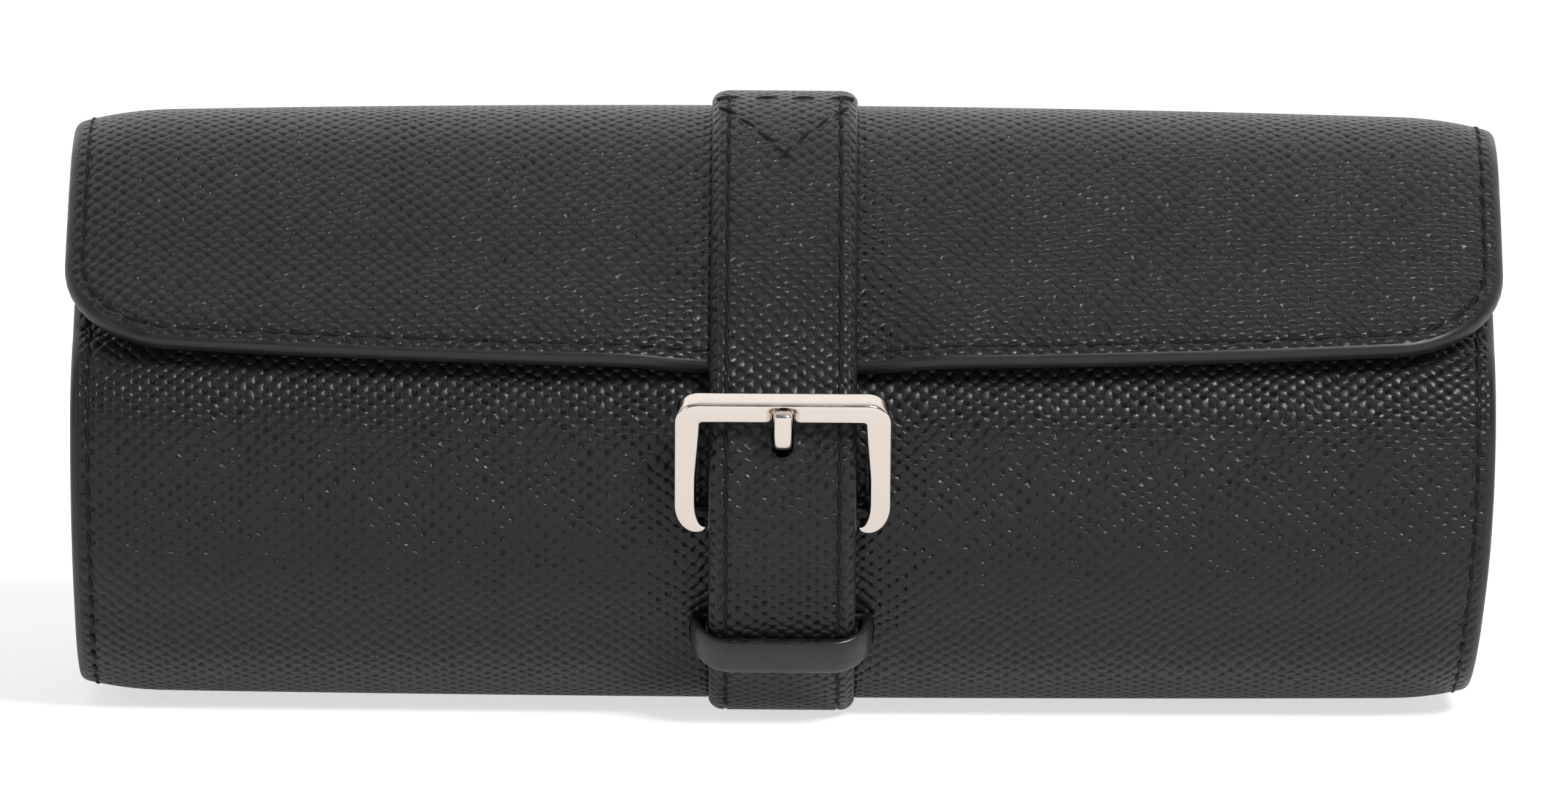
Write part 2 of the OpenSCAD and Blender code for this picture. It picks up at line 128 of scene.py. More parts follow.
class WatchRollMetal(bpy.types.PropertyGroup):
    """Sizes of the buckle and the keeper."""

    bar_r: length("Bar radius", 1.0, "Radius of the heel bar")
    bar_lift: length("Bar lift", 0.6, "How far the leather round the bar stands off the body")
    bar_a: degrees("Bar angle", -13.5, "Angle of the heel bar below the middle of the roll")
    tilt: degrees("Tilt", 29, "How far the frame leans forward")
    frame_l: length("Frame length", 19.3, "From the heel bar to the middle of the top bar")
    top_w: length("Top bar", 3.5, "Height of the top bar")
    frame_t: length("Frame thickness", 3.6, "Thickness at the top bar")
    heel_t: length("Heel thickness", 2.8, "Thickness of the arms at the heel bar")
    arm_w: length("Arm width", 3.9, "Width of the arms at the top")
    arm_heel_w: length("Arm heel width", 3.3, "Width of the arms at the heel bar")
    arm_room: length("Arm room", 1.2, "Room between the strap and each arm")
    corner: length("Frame corner", 3.6, "Outer corner radius of the frame")
    heel_l: length("Heel length", 3.0, "Length of the arms below the heel bar")
    tongue_d: length("Tongue", 2.3, "Width of the tongue at its eye")
    tongue_w: length("Tongue end", 2.8, "Width of the tongue at its flat end")
    tongue_seat: length("Tongue seat", 0.5, "How deep the tongue's end lies in the top bar")
    tip_in: length("Arm tip", 11.5, "How near the middle the arms' curled tips reach")
    curl_w: length("Arm curl", 12.9, "Distance of the curl's lowest point from the middle")
    curl_h: length("Curl height", 5.0, "Height over which the arms curl in")
    keeper_w: length("Keeper width", 7, "Width of the keeper's band")
    keeper_t: length("Keeper thickness", 2.0, "Thickness of the keeper's front band")
    keeper_back_t: length("Keeper back", 1.0, "Thickness of the keeper's back band")
    keeper_room: length("Keeper room", 0.8, "Room between the strap's edge and the keeper")
    keeper_a: degrees("Keeper angle", -43, "Angle at which the keeper sits")


class WatchRollCushion(bpy.types.PropertyGroup):
    """Sizes of the cushion that the watches are strapped to."""

    bay: length("Bay", 59.3333, "Width of one watch's place")
    wall_t: length("Wall", 6, "Thickness of the dividers and end pads")
    sleeve_r: length("Sleeve radius", 25.7, "Radius of the sleeve at the dividers")
    crown: length("Crown", 1.2, "How much fuller the sleeve is in the middle of a bay")
    divider_r: length("Divider radius", 33, "Radius of the two dividers")
    end_r: length("End radius", 34.5, "Radius of the two end pads")
    cushion_l: length("Cushion length", 202, "Length over the two end pads")


class WatchRollColours(bpy.types.PropertyGroup):
    """Colours of the leather, suede, metal, thread and floor."""

    leather: colour("Leather", "#242526", "Grained leather in the light")
    # painted shade: a darker copy of the leather's colour for the hollows of the grain, where shade falls
    painted_pit_shade: colour("Pits", "#0c0c0d", "Grained leather in the pits of its grain")
    paint: colour("Edge paint", "#151617", "Painted edges")
    smooth: colour("Smooth leather", "#1b1b1d", "Keeper and the leather that holds the buckle")
    suede: colour("Suede", "#4a4a4e", "Lining and cushion")
    board: colour("Board", "#6d6253", "Stiffener inside the wrap")
    metal: colour("Metal", "#f3e8df", "Polished buckle")
    thread: colour("Thread", "#060607", "Seams")
    wax: colour("Waxed edge", "#1c1916", "Cut edge of the keeper")
    wax_dark: colour("Waxed edge, dark", "#14110f", "Dense layers of the keeper's cut edge")
    wax_light: colour("Waxed edge, light", "#26221d", "Loose layers of the keeper's cut edge")
    # these three colours are painted shade: the heel bar is made dark for the shade it lies in between the
    # strap and the arms
    steel: colour("Steel", "#26272b", "Blued heel bar")
    painted_bar_shade_dark: colour("Steel, dark", "#1a1a1d", "Heel bar where it is blued most")
    painted_bar_shade_light: colour("Steel, light", "#2d2e33", "Heel bar where it is blued least")
    paper: colour("Paper", "#efefef", "Seamless floor")


def direction(a):
    return np.array([math.cos(a), math.sin(a)])


class Section:
    """The roll's section by the same rules as its frame: f to the front, u up from the middle."""

    def __init__(self):
        s, m = bpy.context.scene.watch_roll, bpy.context.scene.watch_roll_metal
        gap, slip, clear = 0.3 * MM, 0.15 * MM, 0.05 * MM
        self.panel_t = s.outer_t + s.board_t + s.lining_t
        back_r = s.body_r + s.crest_rise
        back_c = np.array([s.crest_rise, 0.0])
        drop = s.body_r - s.base_press
        round_r = s.body_r - s.base_corner_r
        base_a = math.asin((drop - s.base_corner_r) / round_r)
        base_c = round_r * np.array([math.cos(base_a), -math.sin(base_a)])
        lip_c = np.array([s.body_r - s.lip_r, 0.0])
        fold_half = s.fold_w / 2 / back_r
        crest_c = np.array([s.crest_rise, back_r - s.crest_r])
        way = crest_c - lip_c
        span = s.crest_r - self.panel_t - s.flap_room - s.lip_r
        more = (way @ way - span * span) / (2 * (way @ direction(s.crest_a) + span))
        front_r = s.crest_r + more
        front_c = crest_c - more * direction(s.crest_a)
        edge_a = math.asin((s.edge_up - front_c[1]) / front_r)
        keeper_in = s.body_r + slip
        chape_r = keeper_in + m.keeper_back_t + slip
        strap_in = chape_r + s.chape_t + gap
        strap_out = strap_in + s.strap_t
        loop_r = m.bar_r + clear + s.chape_t
        bar_reach = keeper_in + m.bar_lift + loop_r
        bar = bar_reach * direction(m.bar_a)
        run_a = m.bar_a - math.acos((strap_in - loop_r - gap) / bar_reach)
        back_a = m.bar_a - math.acos((keeper_in + loop_r) / bar_reach)
        edge_top = front_c + (front_r + s.strap_t) * direction(edge_a)
        bulge_r = (strap_out - edge_top @ direction(run_a)) / (1 - math.cos(edge_a - run_a))
        bulge_c = edge_top - bulge_r * direction(edge_a)
        turn_a, down, half = math.radians(-60), -math.pi / 2, math.pi
        stack = strap_out - chape_r
        self.floor, self.drop, self.end_lean = drop + stack, drop, s.end_lean
        turn_r = (drop - chape_r * math.sin(-turn_a)) / (1 - math.sin(-turn_a))
        turn_c = (chape_r - turn_r) * direction(turn_a)
        base_back = np.array([-base_c[0], base_c[1]])
        self.bar, self.strap_out, self.keeper_in = bar, strap_out, keeper_in
        self.keeper_out = strap_out + slip
        self.cushion_drop = drop - self.panel_t - bpy.context.scene.watch_roll_cushion.end_r - gap
        self.bulge_c, self.bulge_r = bulge_c, bulge_r
        fold_0 = s.fold_a + fold_half
        under = lip_c + s.lip_r * direction(s.lip_a) - front_c
        under_r, under_a = math.hypot(*under), math.atan2(under[1], under[0])
        # each path is a list of arcs: centre, radius, from, to
        self.body = [
            (back_c, back_r, fold_0 - 2 * half, -half),
            ((0, 0), s.body_r, -half, base_a - half),
            (base_back, s.base_corner_r, base_a - half, down),
            (base_c, s.base_corner_r, down, -base_a),
            ((0, 0), s.body_r, -base_a, 0),
            (lip_c, s.lip_r, 0, s.lip_a),
            (front_c, under_r, under_a, under_a + s.lip_more / under_r),
        ]
        self.flap = [
            (back_c, back_r, fold_0, math.pi / 2),
            (crest_c, s.crest_r, math.pi / 2, s.crest_a),
            (front_c, front_r, s.crest_a, edge_a),
        ]
        self.strap = [
            (back_c, back_r + s.strap_t, s.strap_start_a, math.pi / 2),
            (crest_c, s.crest_r + s.strap_t, math.pi / 2, s.crest_a),
            (front_c, front_r + s.strap_t, s.crest_a, edge_a),
            (bulge_c, bulge_r, edge_a, run_a),
            ((0, 0), strap_out, run_a, turn_a),
            (turn_c, turn_r + stack, turn_a, down),
            ((-s.strap_end, 0), self.floor, down, down),
        ]
        fold_back = s.chape_back_l / s.body_r
        self.chape = [
            ((0, 0), -keeper_in, m.bar_a - fold_back + half, back_a + half),
            (bar, loop_r, back_a + half, run_a),
            ((0, 0), chape_r + s.chape_t, run_a, turn_a),
            (turn_c, turn_r + s.chape_t, turn_a, down),
            (base_back, s.base_corner_r + s.chape_t, down, base_a - half),
            ((0, 0), s.body_r + s.chape_t, base_a - half, base_a - half - s.chape_base_l / s.body_r),
        ]
        self.fold_start = back_c + back_r * direction(fold_0)
        self.fold_end = back_c + back_r * direction(s.fold_a - fold_half)
        self.loop_r = loop_r

    def point(self, f, u, x):
        """A point of the section, at x along the roll, in the row frame."""
        x, low = np.broadcast_arrays(np.asarray(x, float), np.clip(-np.asarray(u) / self.drop, 0, 1))
        end = np.clip((x - 60 * MM) / (46 * MM), 0, 1)
        return np.stack([x - self.end_lean * (low * end) ** 2, -f, self.floor + u], axis=-1)


class Trace:
    """A path drawn out finely, that gives the place and the outward normal at a distance along it."""

    def __init__(self, section, path, step=0.3 * MM):
        points, normals = [], []
        for centre, radius, a0, a1 in path:
            n = int(math.ceil(abs((a1 - a0) * radius) / step)) if a1 != a0 else 0
            for i in range(n + 1):
                d = direction(a0 + (a1 - a0) * i / max(n, 1))
                p = np.array(centre) + radius * d
                if points and np.linalg.norm(p - points[-1]) < 1e-6:
                    continue
                points.append(p)
                normals.append(d)
        self.section = section
        self.p, self.n = np.array(points), np.array(normals)
        self.s = np.concatenate([[0], np.cumsum(np.linalg.norm(np.diff(self.p, axis=0), axis=1))])
        self.length = self.s[-1]

    def flat(self, s):
        s = np.clip(s, 0, self.length)
        p = np.stack([np.interp(s, self.s, self.p[:, k]) for k in (0, 1)], -1)
        n = np.stack([np.interp(s, self.s, self.n[:, k]) for k in (0, 1)], -1)
        return p, n / np.linalg.norm(n, axis=-1, keepdims=True)

    def place(self, x, s, depth, pinch=None):
        """The row frame's point at x along the roll, s along the path and depth below it."""
        x, s = np.broadcast_arrays(np.asarray(x, float), np.asarray(s, float))
        p, n = self.flat(s)
        sunk = depth + (pinch(x, s) if pinch else 0.0)
        q = p - n * np.broadcast_to(sunk, s.shape)[..., None]
        return self.section.point(q[..., 0], q[..., 1], x)

    def outward(self, s):
        """The outward normal in the row frame."""
        _, n = self.flat(np.asarray(s, float))
        return np.stack([np.zeros(n.shape[:-1]), -n[..., 0], n[..., 1]], axis=-1)


def add_object(name, verts, faces, materials, indices=None, uvs=None, sharp=40):
    """A mesh object with outward normals, smooth faces and a UV map from one value a vertex."""
    mesh = bpy.data.meshes.new(name)
    mesh.from_pydata([tuple(v) for v in verts], [], faces)
    for material in materials:
        mesh.materials.append(material)
    if indices is not None:
        mesh.polygons.foreach_set("material_index", indices)
    if uvs is not None:
        layer = mesh.uv_layers.new(name="surface")
        loops = np.zeros(len(mesh.loops), np.int32)
        mesh.loops.foreach_get("vertex_index", loops)
        layer.data.foreach_set("uv", np.asarray(uvs, np.float32)[loops].ravel())
    bm = bmesh.new()
    bm.from_mesh(mesh)
    bmesh.ops.recalc_face_normals(bm, faces=bm.faces)
    bm.to_mesh(mesh)
    bm.free()
    mesh.polygons.foreach_set("use_smooth", [True] * len(mesh.polygons))
    mesh.set_sharp_from_angle(angle=math.radians(sharp))
    made = bpy.data.objects.new(name, mesh)
    bpy.context.scene.collection.objects.link(made)
    return made


def applied(made):
    """The object with its modifiers turned into its own mesh."""
    evaluated = made.evaluated_get(bpy.context.evaluated_depsgraph_get())
    mesh = bpy.data.meshes.new_from_object(evaluated)
    made.modifiers.clear()
    made.data = mesh
    return made


class Sheet:
    """A panel cut out of sheet: columns across the roll, rows along a trace."""

    def __init__(self, trace, cols, low, high, rows, closed):
        cols = np.asarray(cols, float)
        v = np.linspace(0, 1, rows + 1)[:, None]
        self.trace, self.closed = trace, closed
        self.x = np.broadcast_to(cols, (rows + 1, len(cols)))
        self.s = low(cols) + (high(cols) - low(cols)) * v
        n, m = self.x.shape
        chain = [(i, 0) for i in range(n)] + [(n - 1, j) for j in range(1, m)]
        chain += [(i, m - 1) for i in range(n - 2, -1, -1)]
        if closed:
            chain += [(0, j) for j in range(m - 2, 0, -1)]
        self.chain = np.array([i * m + j for i, j in chain])
        flat = np.stack([self.x.ravel(), self.s.ravel()], -1)[self.chain]
        before, after = np.roll(flat, 1, 0), np.roll(flat, -1, 0)
        if not closed:
            before[0], after[-1] = flat[0] - (flat[1] - flat[0]), 2 * flat[-1] - flat[-2]
        e1, e2 = flat - before, after - flat
        n1 = np.stack([-e1[:, 1], e1[:, 0]], -1) / np.linalg.norm(e1, axis=1)[:, None]
        n2 = np.stack([-e2[:, 1], e2[:, 0]], -1) / np.linalg.norm(e2, axis=1)[:, None]
        self.out = (n1 + n2) / (1 + (n1 * n2).sum(1))[:, None]
        self.edge = flat

    def ring(self, grow):
        """The outline moved outwards by grow, as x and s."""
        moved = self.edge + self.out * grow
        return moved[:, 0], moved[:, 1]

    def build(self, name, inset, profile, under, materials, under_index, uv_sign=1, pinch=None):
        """The solid whose edge follows profile, a list of (inset, depth, material) from the face round."""
        n, m = self.x.shape
        count, k = n * m, len(self.chain)
        xs, ss, ds = [self.x.ravel()], [self.s.ravel()], [np.zeros(count)]
        for at, depth, _ in profile:
            x, s = self.ring(inset - at)
            xs.append(x), ss.append(s), ds.append(np.full(k, depth))
        xs.append(self.x.ravel()), ss.append(self.s.ravel()), ds.append(np.full(count, under))
        x, s, d = (np.concatenate(a) for a in (xs, ss, ds))
        verts = self.trace.place(x, s, d, pinch)
        bottom = count + k * len(profile)
        faces, indices = [], []
        for i in range(n - 1):
            for j in range(m - 1):
                a = i * m + j
                faces.append((a, a + 1, a + m + 1, a + m))
                faces.append(tuple(bottom + c for c in (a, a + m, a + m + 1, a + 1)))
                indices += [0, under_index]
        loops = [self.chain] + [count + r * k + np.arange(k) for r in range(len(profile))]
        loops.append(bottom + self.chain)
        kinds = [p[2] for p in profile] + [under_index]
        steps = range(k if self.closed else k - 1)
        for a, b, kind in zip(loops, loops[1:], kinds):
            for i in steps:
                j = (i + 1) % k
                faces.append((a[i], a[j], b[j], b[i]))
                indices.append(kind)
        if not self.closed:
            cap = list(range(m)) + [loop[-1] for loop in loops[1:-1]]
            cap += [bottom + j for j in range(m - 1, -1, -1)] + [loop[0] for loop in loops[-2:0:-1]]
            faces.append(tuple(cap))
            indices.append(under_index)
        uvs = np.stack([x, uv_sign * s], -1) * 10
        faces = [tuple(int(c) for c in f) for f in faces]
        return add_object(name, verts, faces, materials, indices, uvs)


def rail(name, pairs, reach, place, materials, closed=False, sides=24, power=4.0, sharp=60):
    """A bar whose section spans each pair of outer and inner points, with round edges."""
    verts, faces = [], []
    for k, (outer, inner) in enumerate(pairs):
        outer, inner = np.array(outer, float), np.array(inner, float)
        centre, across = (outer + inner) / 2, (outer - inner) / 2
        for i in range(sides):
            a = 2 * math.pi * (i + 0.5) / sides
            c, s = math.cos(a), math.sin(a)
            u = math.copysign(abs(c) ** (2 / power), c)
            w = math.copysign(abs(s) ** (2 / power), s)
            verts.append(place(centre + across * u, reach(centre, k) * w))
    n = len(pairs)
    for k in range(n if closed else n - 1):
        a, b = k * sides, (k + 1) % n * sides
        for i in range(sides):
            j = (i + 1) % sides
            faces.append((a + i, a + j, b + j, b + i))
    if not closed:
        faces.append(tuple(range(sides))[::-1])
        faces.append(tuple((n - 1) * sides + i for i in range(sides)))
    return add_object(name, verts, faces, materials, sharp=sharp)


def turned(name, profile, centre, materials, steps=96, ripple=None, sharp=50):
    """A closed profile of (radius, x) turned about a line along the roll."""
    verts, faces, n = [], [], len(profile)
    for k in range(steps):
        a = 2 * math.pi * k / steps
        for r, x in profile:
            r = r + (ripple(a, r, x) if ripple else 0)
            verts.append((x, centre[0] + r * math.cos(a), centre[1] + r * math.sin(a)))
    for k in range(steps):
        a, b = k * n, (k + 1) % steps * n
        for i in range(n):
            j = (i + 1) % n
            faces.append((a + i, a + j, b + j, b + i))
    made = add_object(name, verts, faces, materials, sharp=sharp)
    bm = bmesh.new()
    bm.from_mesh(made.data)
    bmesh.ops.remove_doubles(bm, verts=bm.verts, dist=1e-6)
    bmesh.ops.recalc_face_normals(bm, faces=bm.faces)
    bm.to_mesh(made.data)
    bm.free()
    return made


def add(tree, kind, links=(), **settings):
    """Adds a node, sets what settings name, and links or fills its inputs."""
    node = tree.nodes.new(kind)
    for name, value in settings.items():
        setattr(node, name, value)
    for socket, value in links:
        target = node.inputs[socket]
        if isinstance(value, bpy.types.NodeSocket):
            tree.links.new(value, target)
        else:
            target.default_value = value
    return node


def start_material(name, base, roughness, **sockets):
    """A material with a Principled shader, and its tree and shader."""
    material = bpy.data.materials.new(name)
    material.use_nodes = True
    tree = material.node_tree
    shader = tree.nodes["Principled BSDF"]
    shader.inputs["Base Color"].default_value = (*base, 1)
    shader.inputs["Roughness"].default_value = roughness
    for socket, value in sockets.items():
        shader.inputs[socket.replace("_", " ")].default_value = value
    material.diffuse_color = (*base, 1)
    return material, tree, shader


def math_node(tree, operation, a, b=0.0, clamp=False):
    return add(tree, "ShaderNodeMath", [(0, a), (1, b)], operation=operation, use_clamp=clamp).outputs[0]


def object_place(tree):
    return add(tree, "ShaderNodeTexCoord").outputs["Object"]


def noise_node(tree, vector, scale, detail=3.0, roughness=0.5):
    links = [("Vector", vector), ("Scale", scale), ("Detail", detail), ("Roughness", roughness)]
    return add(tree, "ShaderNodeTexNoise", links).outputs["Fac"]


def between(tree, value, low, high, to_low=0.0, to_high=1.0):
    links = [("Value", value), ("From Min", low), ("From Max", high), ("To Min", to_low),
             ("To Max", to_high)]
    return add(tree, "ShaderNodeMapRange", links, interpolation_type="SMOOTHSTEP").outputs["Result"]


def tint(tree, shader, factor, a, b):
    mix = add(tree, "ShaderNodeMix", [("Factor", factor), ("A", (*a, 1)), ("B", (*b, 1))], data_type="RGBA")
    tree.links.new(mix.outputs["Result"], shader.inputs["Base Color"])


def bump(tree, shader, height, distance, strength=1.0):
    node = add(tree, "ShaderNodeBump", [("Height", height), ("Distance", distance), ("Strength", strength)])
    tree.links.new(node.outputs["Normal"], shader.inputs["Normal"])


def saffiano(name):
    """Calf leather pressed with a fine cross grain and finished with a satin coat: a small soft hollow where
    two sets of grooves cross, coloured darker as painted shade, and low beads between them that glint under
    a lamp."""
    c = bpy.context.scene.watch_roll_colours
    material, tree, shader = start_material(name, c.leather, 0.4, Specular_IOR_Level=0.3)
    uv = add(tree, "ShaderNodeUVMap", uv_map="surface").outputs["UV"]
    # one UV unit is 100 mm; the grain repeats every 2.6 mm along the roll and 2.25 mm round it
    grain = add(tree, "ShaderNodeMapping", [("Vector", uv), ("Scale", (100 / 2.6, 100 / 2.25, 1))])
    split = add(tree, "ShaderNodeSeparateXYZ", [(0, grain.outputs[0])])
    drift = math_node(tree, "MULTIPLY", noise_node(tree, uv, 7.0, 2.0), 2.2)
    jitter = math_node(tree, "MULTIPLY", noise_node(tree, uv, 38.0, 2.0), 0.7)
    shift = math_node(tree, "ADD", drift, jitter)
    waves, cells = [], []
    for mode in ("ADD", "SUBTRACT"):
        way = math_node(tree, mode, math_node(tree, mode, split.outputs[0], split.outputs[1]), shift)
        waves.append(math_node(tree, "MULTIPLY", math_node(tree, "PINGPONG", way, 0.5), 2.0))
        cells.append(math_node(tree, "FLOOR", way))
    cell = add(tree, "ShaderNodeCombineXYZ", [(0, cells[0]), (1, cells[1])])
    chance = add(tree, "ShaderNodeTexWhiteNoise", [("Vector", cell.outputs[0])], noise_dimensions="2D")
    patch = noise_node(tree, uv, 15.0, 2.0)
    depth = math_node(tree, "MULTIPLY", between(tree, chance.outputs["Value"], 0.0, 1.0, 0.45, 1.0),
                      between(tree, patch, 0.3, 0.65, 0.55, 1.0))
    round_pit = between(tree, math_node(tree, "MULTIPLY", *waves), 0.16, 0.92)
    pit = math_node(tree, "MULTIPLY", round_pit, depth)
    squares = [math_node(tree, "MULTIPLY", wave, wave) for wave in waves]
    dome = math_node(tree, "MULTIPLY", math_node(tree, "ADD", *squares), -0.42)
    grit = math_node(tree, "MULTIPLY", noise_node(tree, uv, 200.0, 2.0), 0.13)
    # painted shade: the hollow of each grain cell is coloured darker, for the shade that falls into it
    tint(tree, shader, pit, c.leather, c.painted_pit_shade)
    height = math_node(tree, "SUBTRACT", math_node(tree, "ADD", dome, grit), pit)
    tree.links.new(between(tree, grit, 0.04, 0.09, 0.26, 0.4), shader.inputs["Roughness"])
    bump(tree, shader, height, 0.3 * MM, 1.0)
    return material


def edge_paint(name):
    """Several coats of acrylic edge paint, sanded between: smooth, satin and slightly wavy."""
    c = bpy.context.scene.watch_roll_colours
    material, tree, shader = start_material(name, c.paint, 0.4, Coat_Weight=0.1, Coat_Roughness=0.3)
    place = object_place(tree)
    wave = noise_node(tree, place, 260.0, 2.0)
    tree.links.new(between(tree, wave, 0.3, 0.7, 0.36, 0.48), shader.inputs["Roughness"])
    bump(tree, shader, wave, 0.08 * MM, 0.5)
    return material


def smooth_leather(name):
    """Vegetable tanned calf, dyed and polished: fine pores and a soft shine."""
    c = bpy.context.scene.watch_roll_colours
    material, tree, shader = start_material(name, c.smooth, 0.3, Coat_Weight=0.2, Coat_Roughness=0.16)
    place = object_place(tree)
    links = [("Vector", place), ("Scale", 1500.0)]
    pores = add(tree, "ShaderNodeTexVoronoi", links, feature="DISTANCE_TO_EDGE").outputs["Distance"]
    cloud = noise_node(tree, place, 180.0, 3.0)
    tree.links.new(between(tree, cloud, 0.3, 0.7, 0.26, 0.4), shader.inputs["Roughness"])
    height = math_node(tree, "ADD", between(tree, pores, 0.0, 0.12), math_node(tree, "MULTIPLY", cloud, 0.8))
    bump(tree, shader, height, 0.05 * MM, 0.7)
    return material


def burnished_edge(name):
    """Cut edge of the keeper's leather, rubbed with wax: brown black and shiny."""
    c = bpy.context.scene.watch_roll_colours
    material, tree, shader = start_material(name, c.wax, 0.24, Coat_Weight=0.4, Coat_Roughness=0.16)
    place = object_place(tree)
    layers = noise_node(tree, place, 700.0, 3.0)
    tint(tree, shader, between(tree, layers, 0.3, 0.7), c.wax_dark, c.wax_light)
    bump(tree, shader, layers, 0.05 * MM, 0.5)
    return material


def suede(name):
    """Split leather with a brushed nap: matt, cloudy where the nap lies different ways."""
    c = bpy.context.scene.watch_roll_colours
    material, tree, shader = start_material(name, c.suede, 0.95, Sheen_Weight=0.45, Sheen_Roughness=0.5,
                                            Specular_IOR_Level=0.15)
    shader.inputs["Sheen Tint"].default_value = (0.6, 0.6, 0.63, 1)
    place = object_place(tree)
    cloud = noise_node(tree, place, 70.0, 4.0, 0.6)
    nap = noise_node(tree, place, 1900.0, 2.0)
    dark, light = (tuple(v * k for v in c.suede) for k in (0.72, 1.18))
    tint(tree, shader, between(tree, cloud, 0.3, 0.7), dark, light)
    bump(tree, shader, nap, 0.12 * MM, 0.7)
    return material


def grey_board(name):
    """Pressed grey board: matt, flecked with fibre."""
    c = bpy.context.scene.watch_roll_colours
    material, tree, shader = start_material(name, c.board, 0.9)
    place = object_place(tree)
    fleck = noise_node(tree, place, 900.0, 4.0, 0.7)
    tint(tree, shader, between(tree, fleck, 0.35, 0.65), tuple(v * 0.8 for v in c.board), c.board)
    bump(tree, shader, fleck, 0.05 * MM, 0.5)
    return material


def polished_nickel(name):
    """Cast brass, polished and nickel plated: warm silver, sharp reflections, faint hairlines."""
    c = bpy.context.scene.watch_roll_colours
    material, tree, shader = start_material(name, c.metal, 0.16, Metallic=1.0)
    place = object_place(tree)
    haze = noise_node(tree, place, 420.0, 3.0)
    stretched = add(tree, "ShaderNodeMapping", [("Vector", place), ("Scale", (300.0, 4000.0, 4000.0))])
    hairs = noise_node(tree, stretched.outputs[0], 1.0, 2.0)
    tree.links.new(between(tree, haze, 0.3, 0.7, 0.13, 0.22), shader.inputs["Roughness"])
    bump(tree, shader, hairs, 0.004 * MM, 0.5)
    return material


def blued_steel(name):
    """Steel pin coloured dark as painted shade, for the shade it lies in between the strap and the arms,
    with a faint sheen along its length.
    """
    c = bpy.context.scene.watch_roll_colours
    material, tree, shader = start_material(name, c.steel, 0.38, Metallic=1.0)
    place = object_place(tree)
    bloom = noise_node(tree, place, 900.0, 3.0)
    tint(tree, shader, between(tree, bloom, 0.3, 0.7), c.painted_bar_shade_dark, c.painted_bar_shade_light)
    tree.links.new(between(tree, bloom, 0.3, 0.7, 0.32, 0.46), shader.inputs["Roughness"])
    return material


def waxed_thread(name):
    """Three-ply polyester thread with wax: near black with a dull shine and a fine twist."""
    c = bpy.context.scene.watch_roll_colours
    material, tree, shader = start_material(name, c.thread, 0.62, Specular_IOR_Level=0.3)
    place = object_place(tree)
    twist = noise_node(tree, place, 3500.0, 1.0)
    tint(tree, shader, between(tree, twist, 0.3, 0.7), c.thread, tuple(v * 1.9 for v in c.thread))
    bump(tree, shader, twist, 0.05 * MM, 0.6)
    return material


MATERIALS = {
    "cross_grain_calf": saffiano,
    "edge_paint": edge_paint,
    "smooth_calf": smooth_leather,
    "burnished_edge": burnished_edge,
    "brushed_suede": suede,
    "grey_board": grey_board,
    "polished_nickel_plate": polished_nickel,
    "blued_steel": blued_steel,
    "waxed_thread": waxed_thread,
}


def material(name):
    return bpy.data.materials.get(name) or MATERIALS[name](name)


def ease(value, low, high):
    """From 0 at low to 1 at high, with soft ends."""
    t = np.clip((value - low) / (high - low), 0, 1)
    return t * t * (3 - 2 * t)


def end_pinch(x, s):
    """How far the roll is drawn in towards its ends, by where a point lies along it."""
    sizes = bpy.context.scene.watch_roll
    half, reach = sizes.body_len / 2, 13 * MM
    t = np.clip((np.abs(x) - (half - reach)) / reach, 0, 1.2)
    return sizes.end_pinch * t * t + sizes.barrel * (x / half) ** 2


def body_columns(half, inset):
    """Columns across the whole roll, closer together where its ends draw in."""
    edge = half - inset
    near = edge - np.array([0, 1, 2, 3.2, 4.6, 6.2, 8, 10, 12.5, 16]) * MM
    side = np.linspace(20 * MM, edge - 22 * MM, 12)
    strap = np.array([0, 5, 8.6, 9.3, 9.8, 10.3, 10.8, 11.2, 12, 14]) * MM
    middle = np.concatenate([strap, side])
    return np.concatenate([-near, -middle[:0:-1], middle, near[::-1]])


class FlapOutline:
    """The flap's edge: two round corners and a bow between them, as height above its lowest point."""

    def __init__(self, sizes, inset):
        half = sizes.body_len / 2 + sizes.flap_over
        self.bow_r = (half**2 + sizes.edge_bow**2) / (2 * sizes.edge_bow)
        self.bow_x = half - sizes.corner_r
        bow_a = math.asin(self.bow_x / (self.bow_r - sizes.corner_r))
        self.bow_y = self.bow_r - (self.bow_r - sizes.corner_r) * math.cos(bow_a)
        self.r = sizes.corner_r - inset
        self.turn = self.bow_x + self.r * math.sin(bow_a)
        self.inset = inset

    def height(self, x):
        x = np.abs(x)
        bow = self.bow_r - np.sqrt((self.bow_r - self.inset) ** 2 - x**2)
        corner = self.bow_y - np.sqrt(np.maximum(self.r**2 - np.clip(x - self.bow_x, 0, self.r) ** 2, 0))
        return np.where(x < self.turn, bow, corner)

    def columns(self):
        corner = self.bow_x + self.r * np.sin(np.radians([90, 84, 77, 69, 60, 50, 40, 30, 20, 10]))
        middle = np.linspace(-self.bow_x, self.bow_x, 45)
        return np.concatenate([-corner, middle, corner[::-1]])


# in millimetres: how far each panel's grid lies inside its outline, and where its stitches run
PANEL_IN, STRAP_IN, CHAPE_IN = 3.6, 3.1, 1.2
SEAM_IN, STRAP_SEAM_IN = 2.7, 2.6
STITCH_L, STRAP_STITCH_L = 3.1, 3.8
# edge of a lined panel, 3.4 mm thick: stitched groove, round shoulder, painted edge, round foot
PANEL_EDGE = [(3.2, 0, 0), (2.95, 0.07, 0), (2.7, 0.2, 0), (2.45, 0.07, 0), (2.2, 0, 0), (1.5, 0, 0),
              (1.05, 0.02, 0), (0.95, 0.05, 1), (0.6, 0.16, 1), (0.3, 0.38, 1), (0.1, 0.75, 1),
              (0.0, 1.3, 1), (0.0, 2.1, 1), (0.1, 2.65, 1), (0.3, 3.02, 1), (0.6, 3.24, 1),
              (0.95, 3.33, 1), (1.1, 3.3, 1), (1.1, 1.1, 1)]
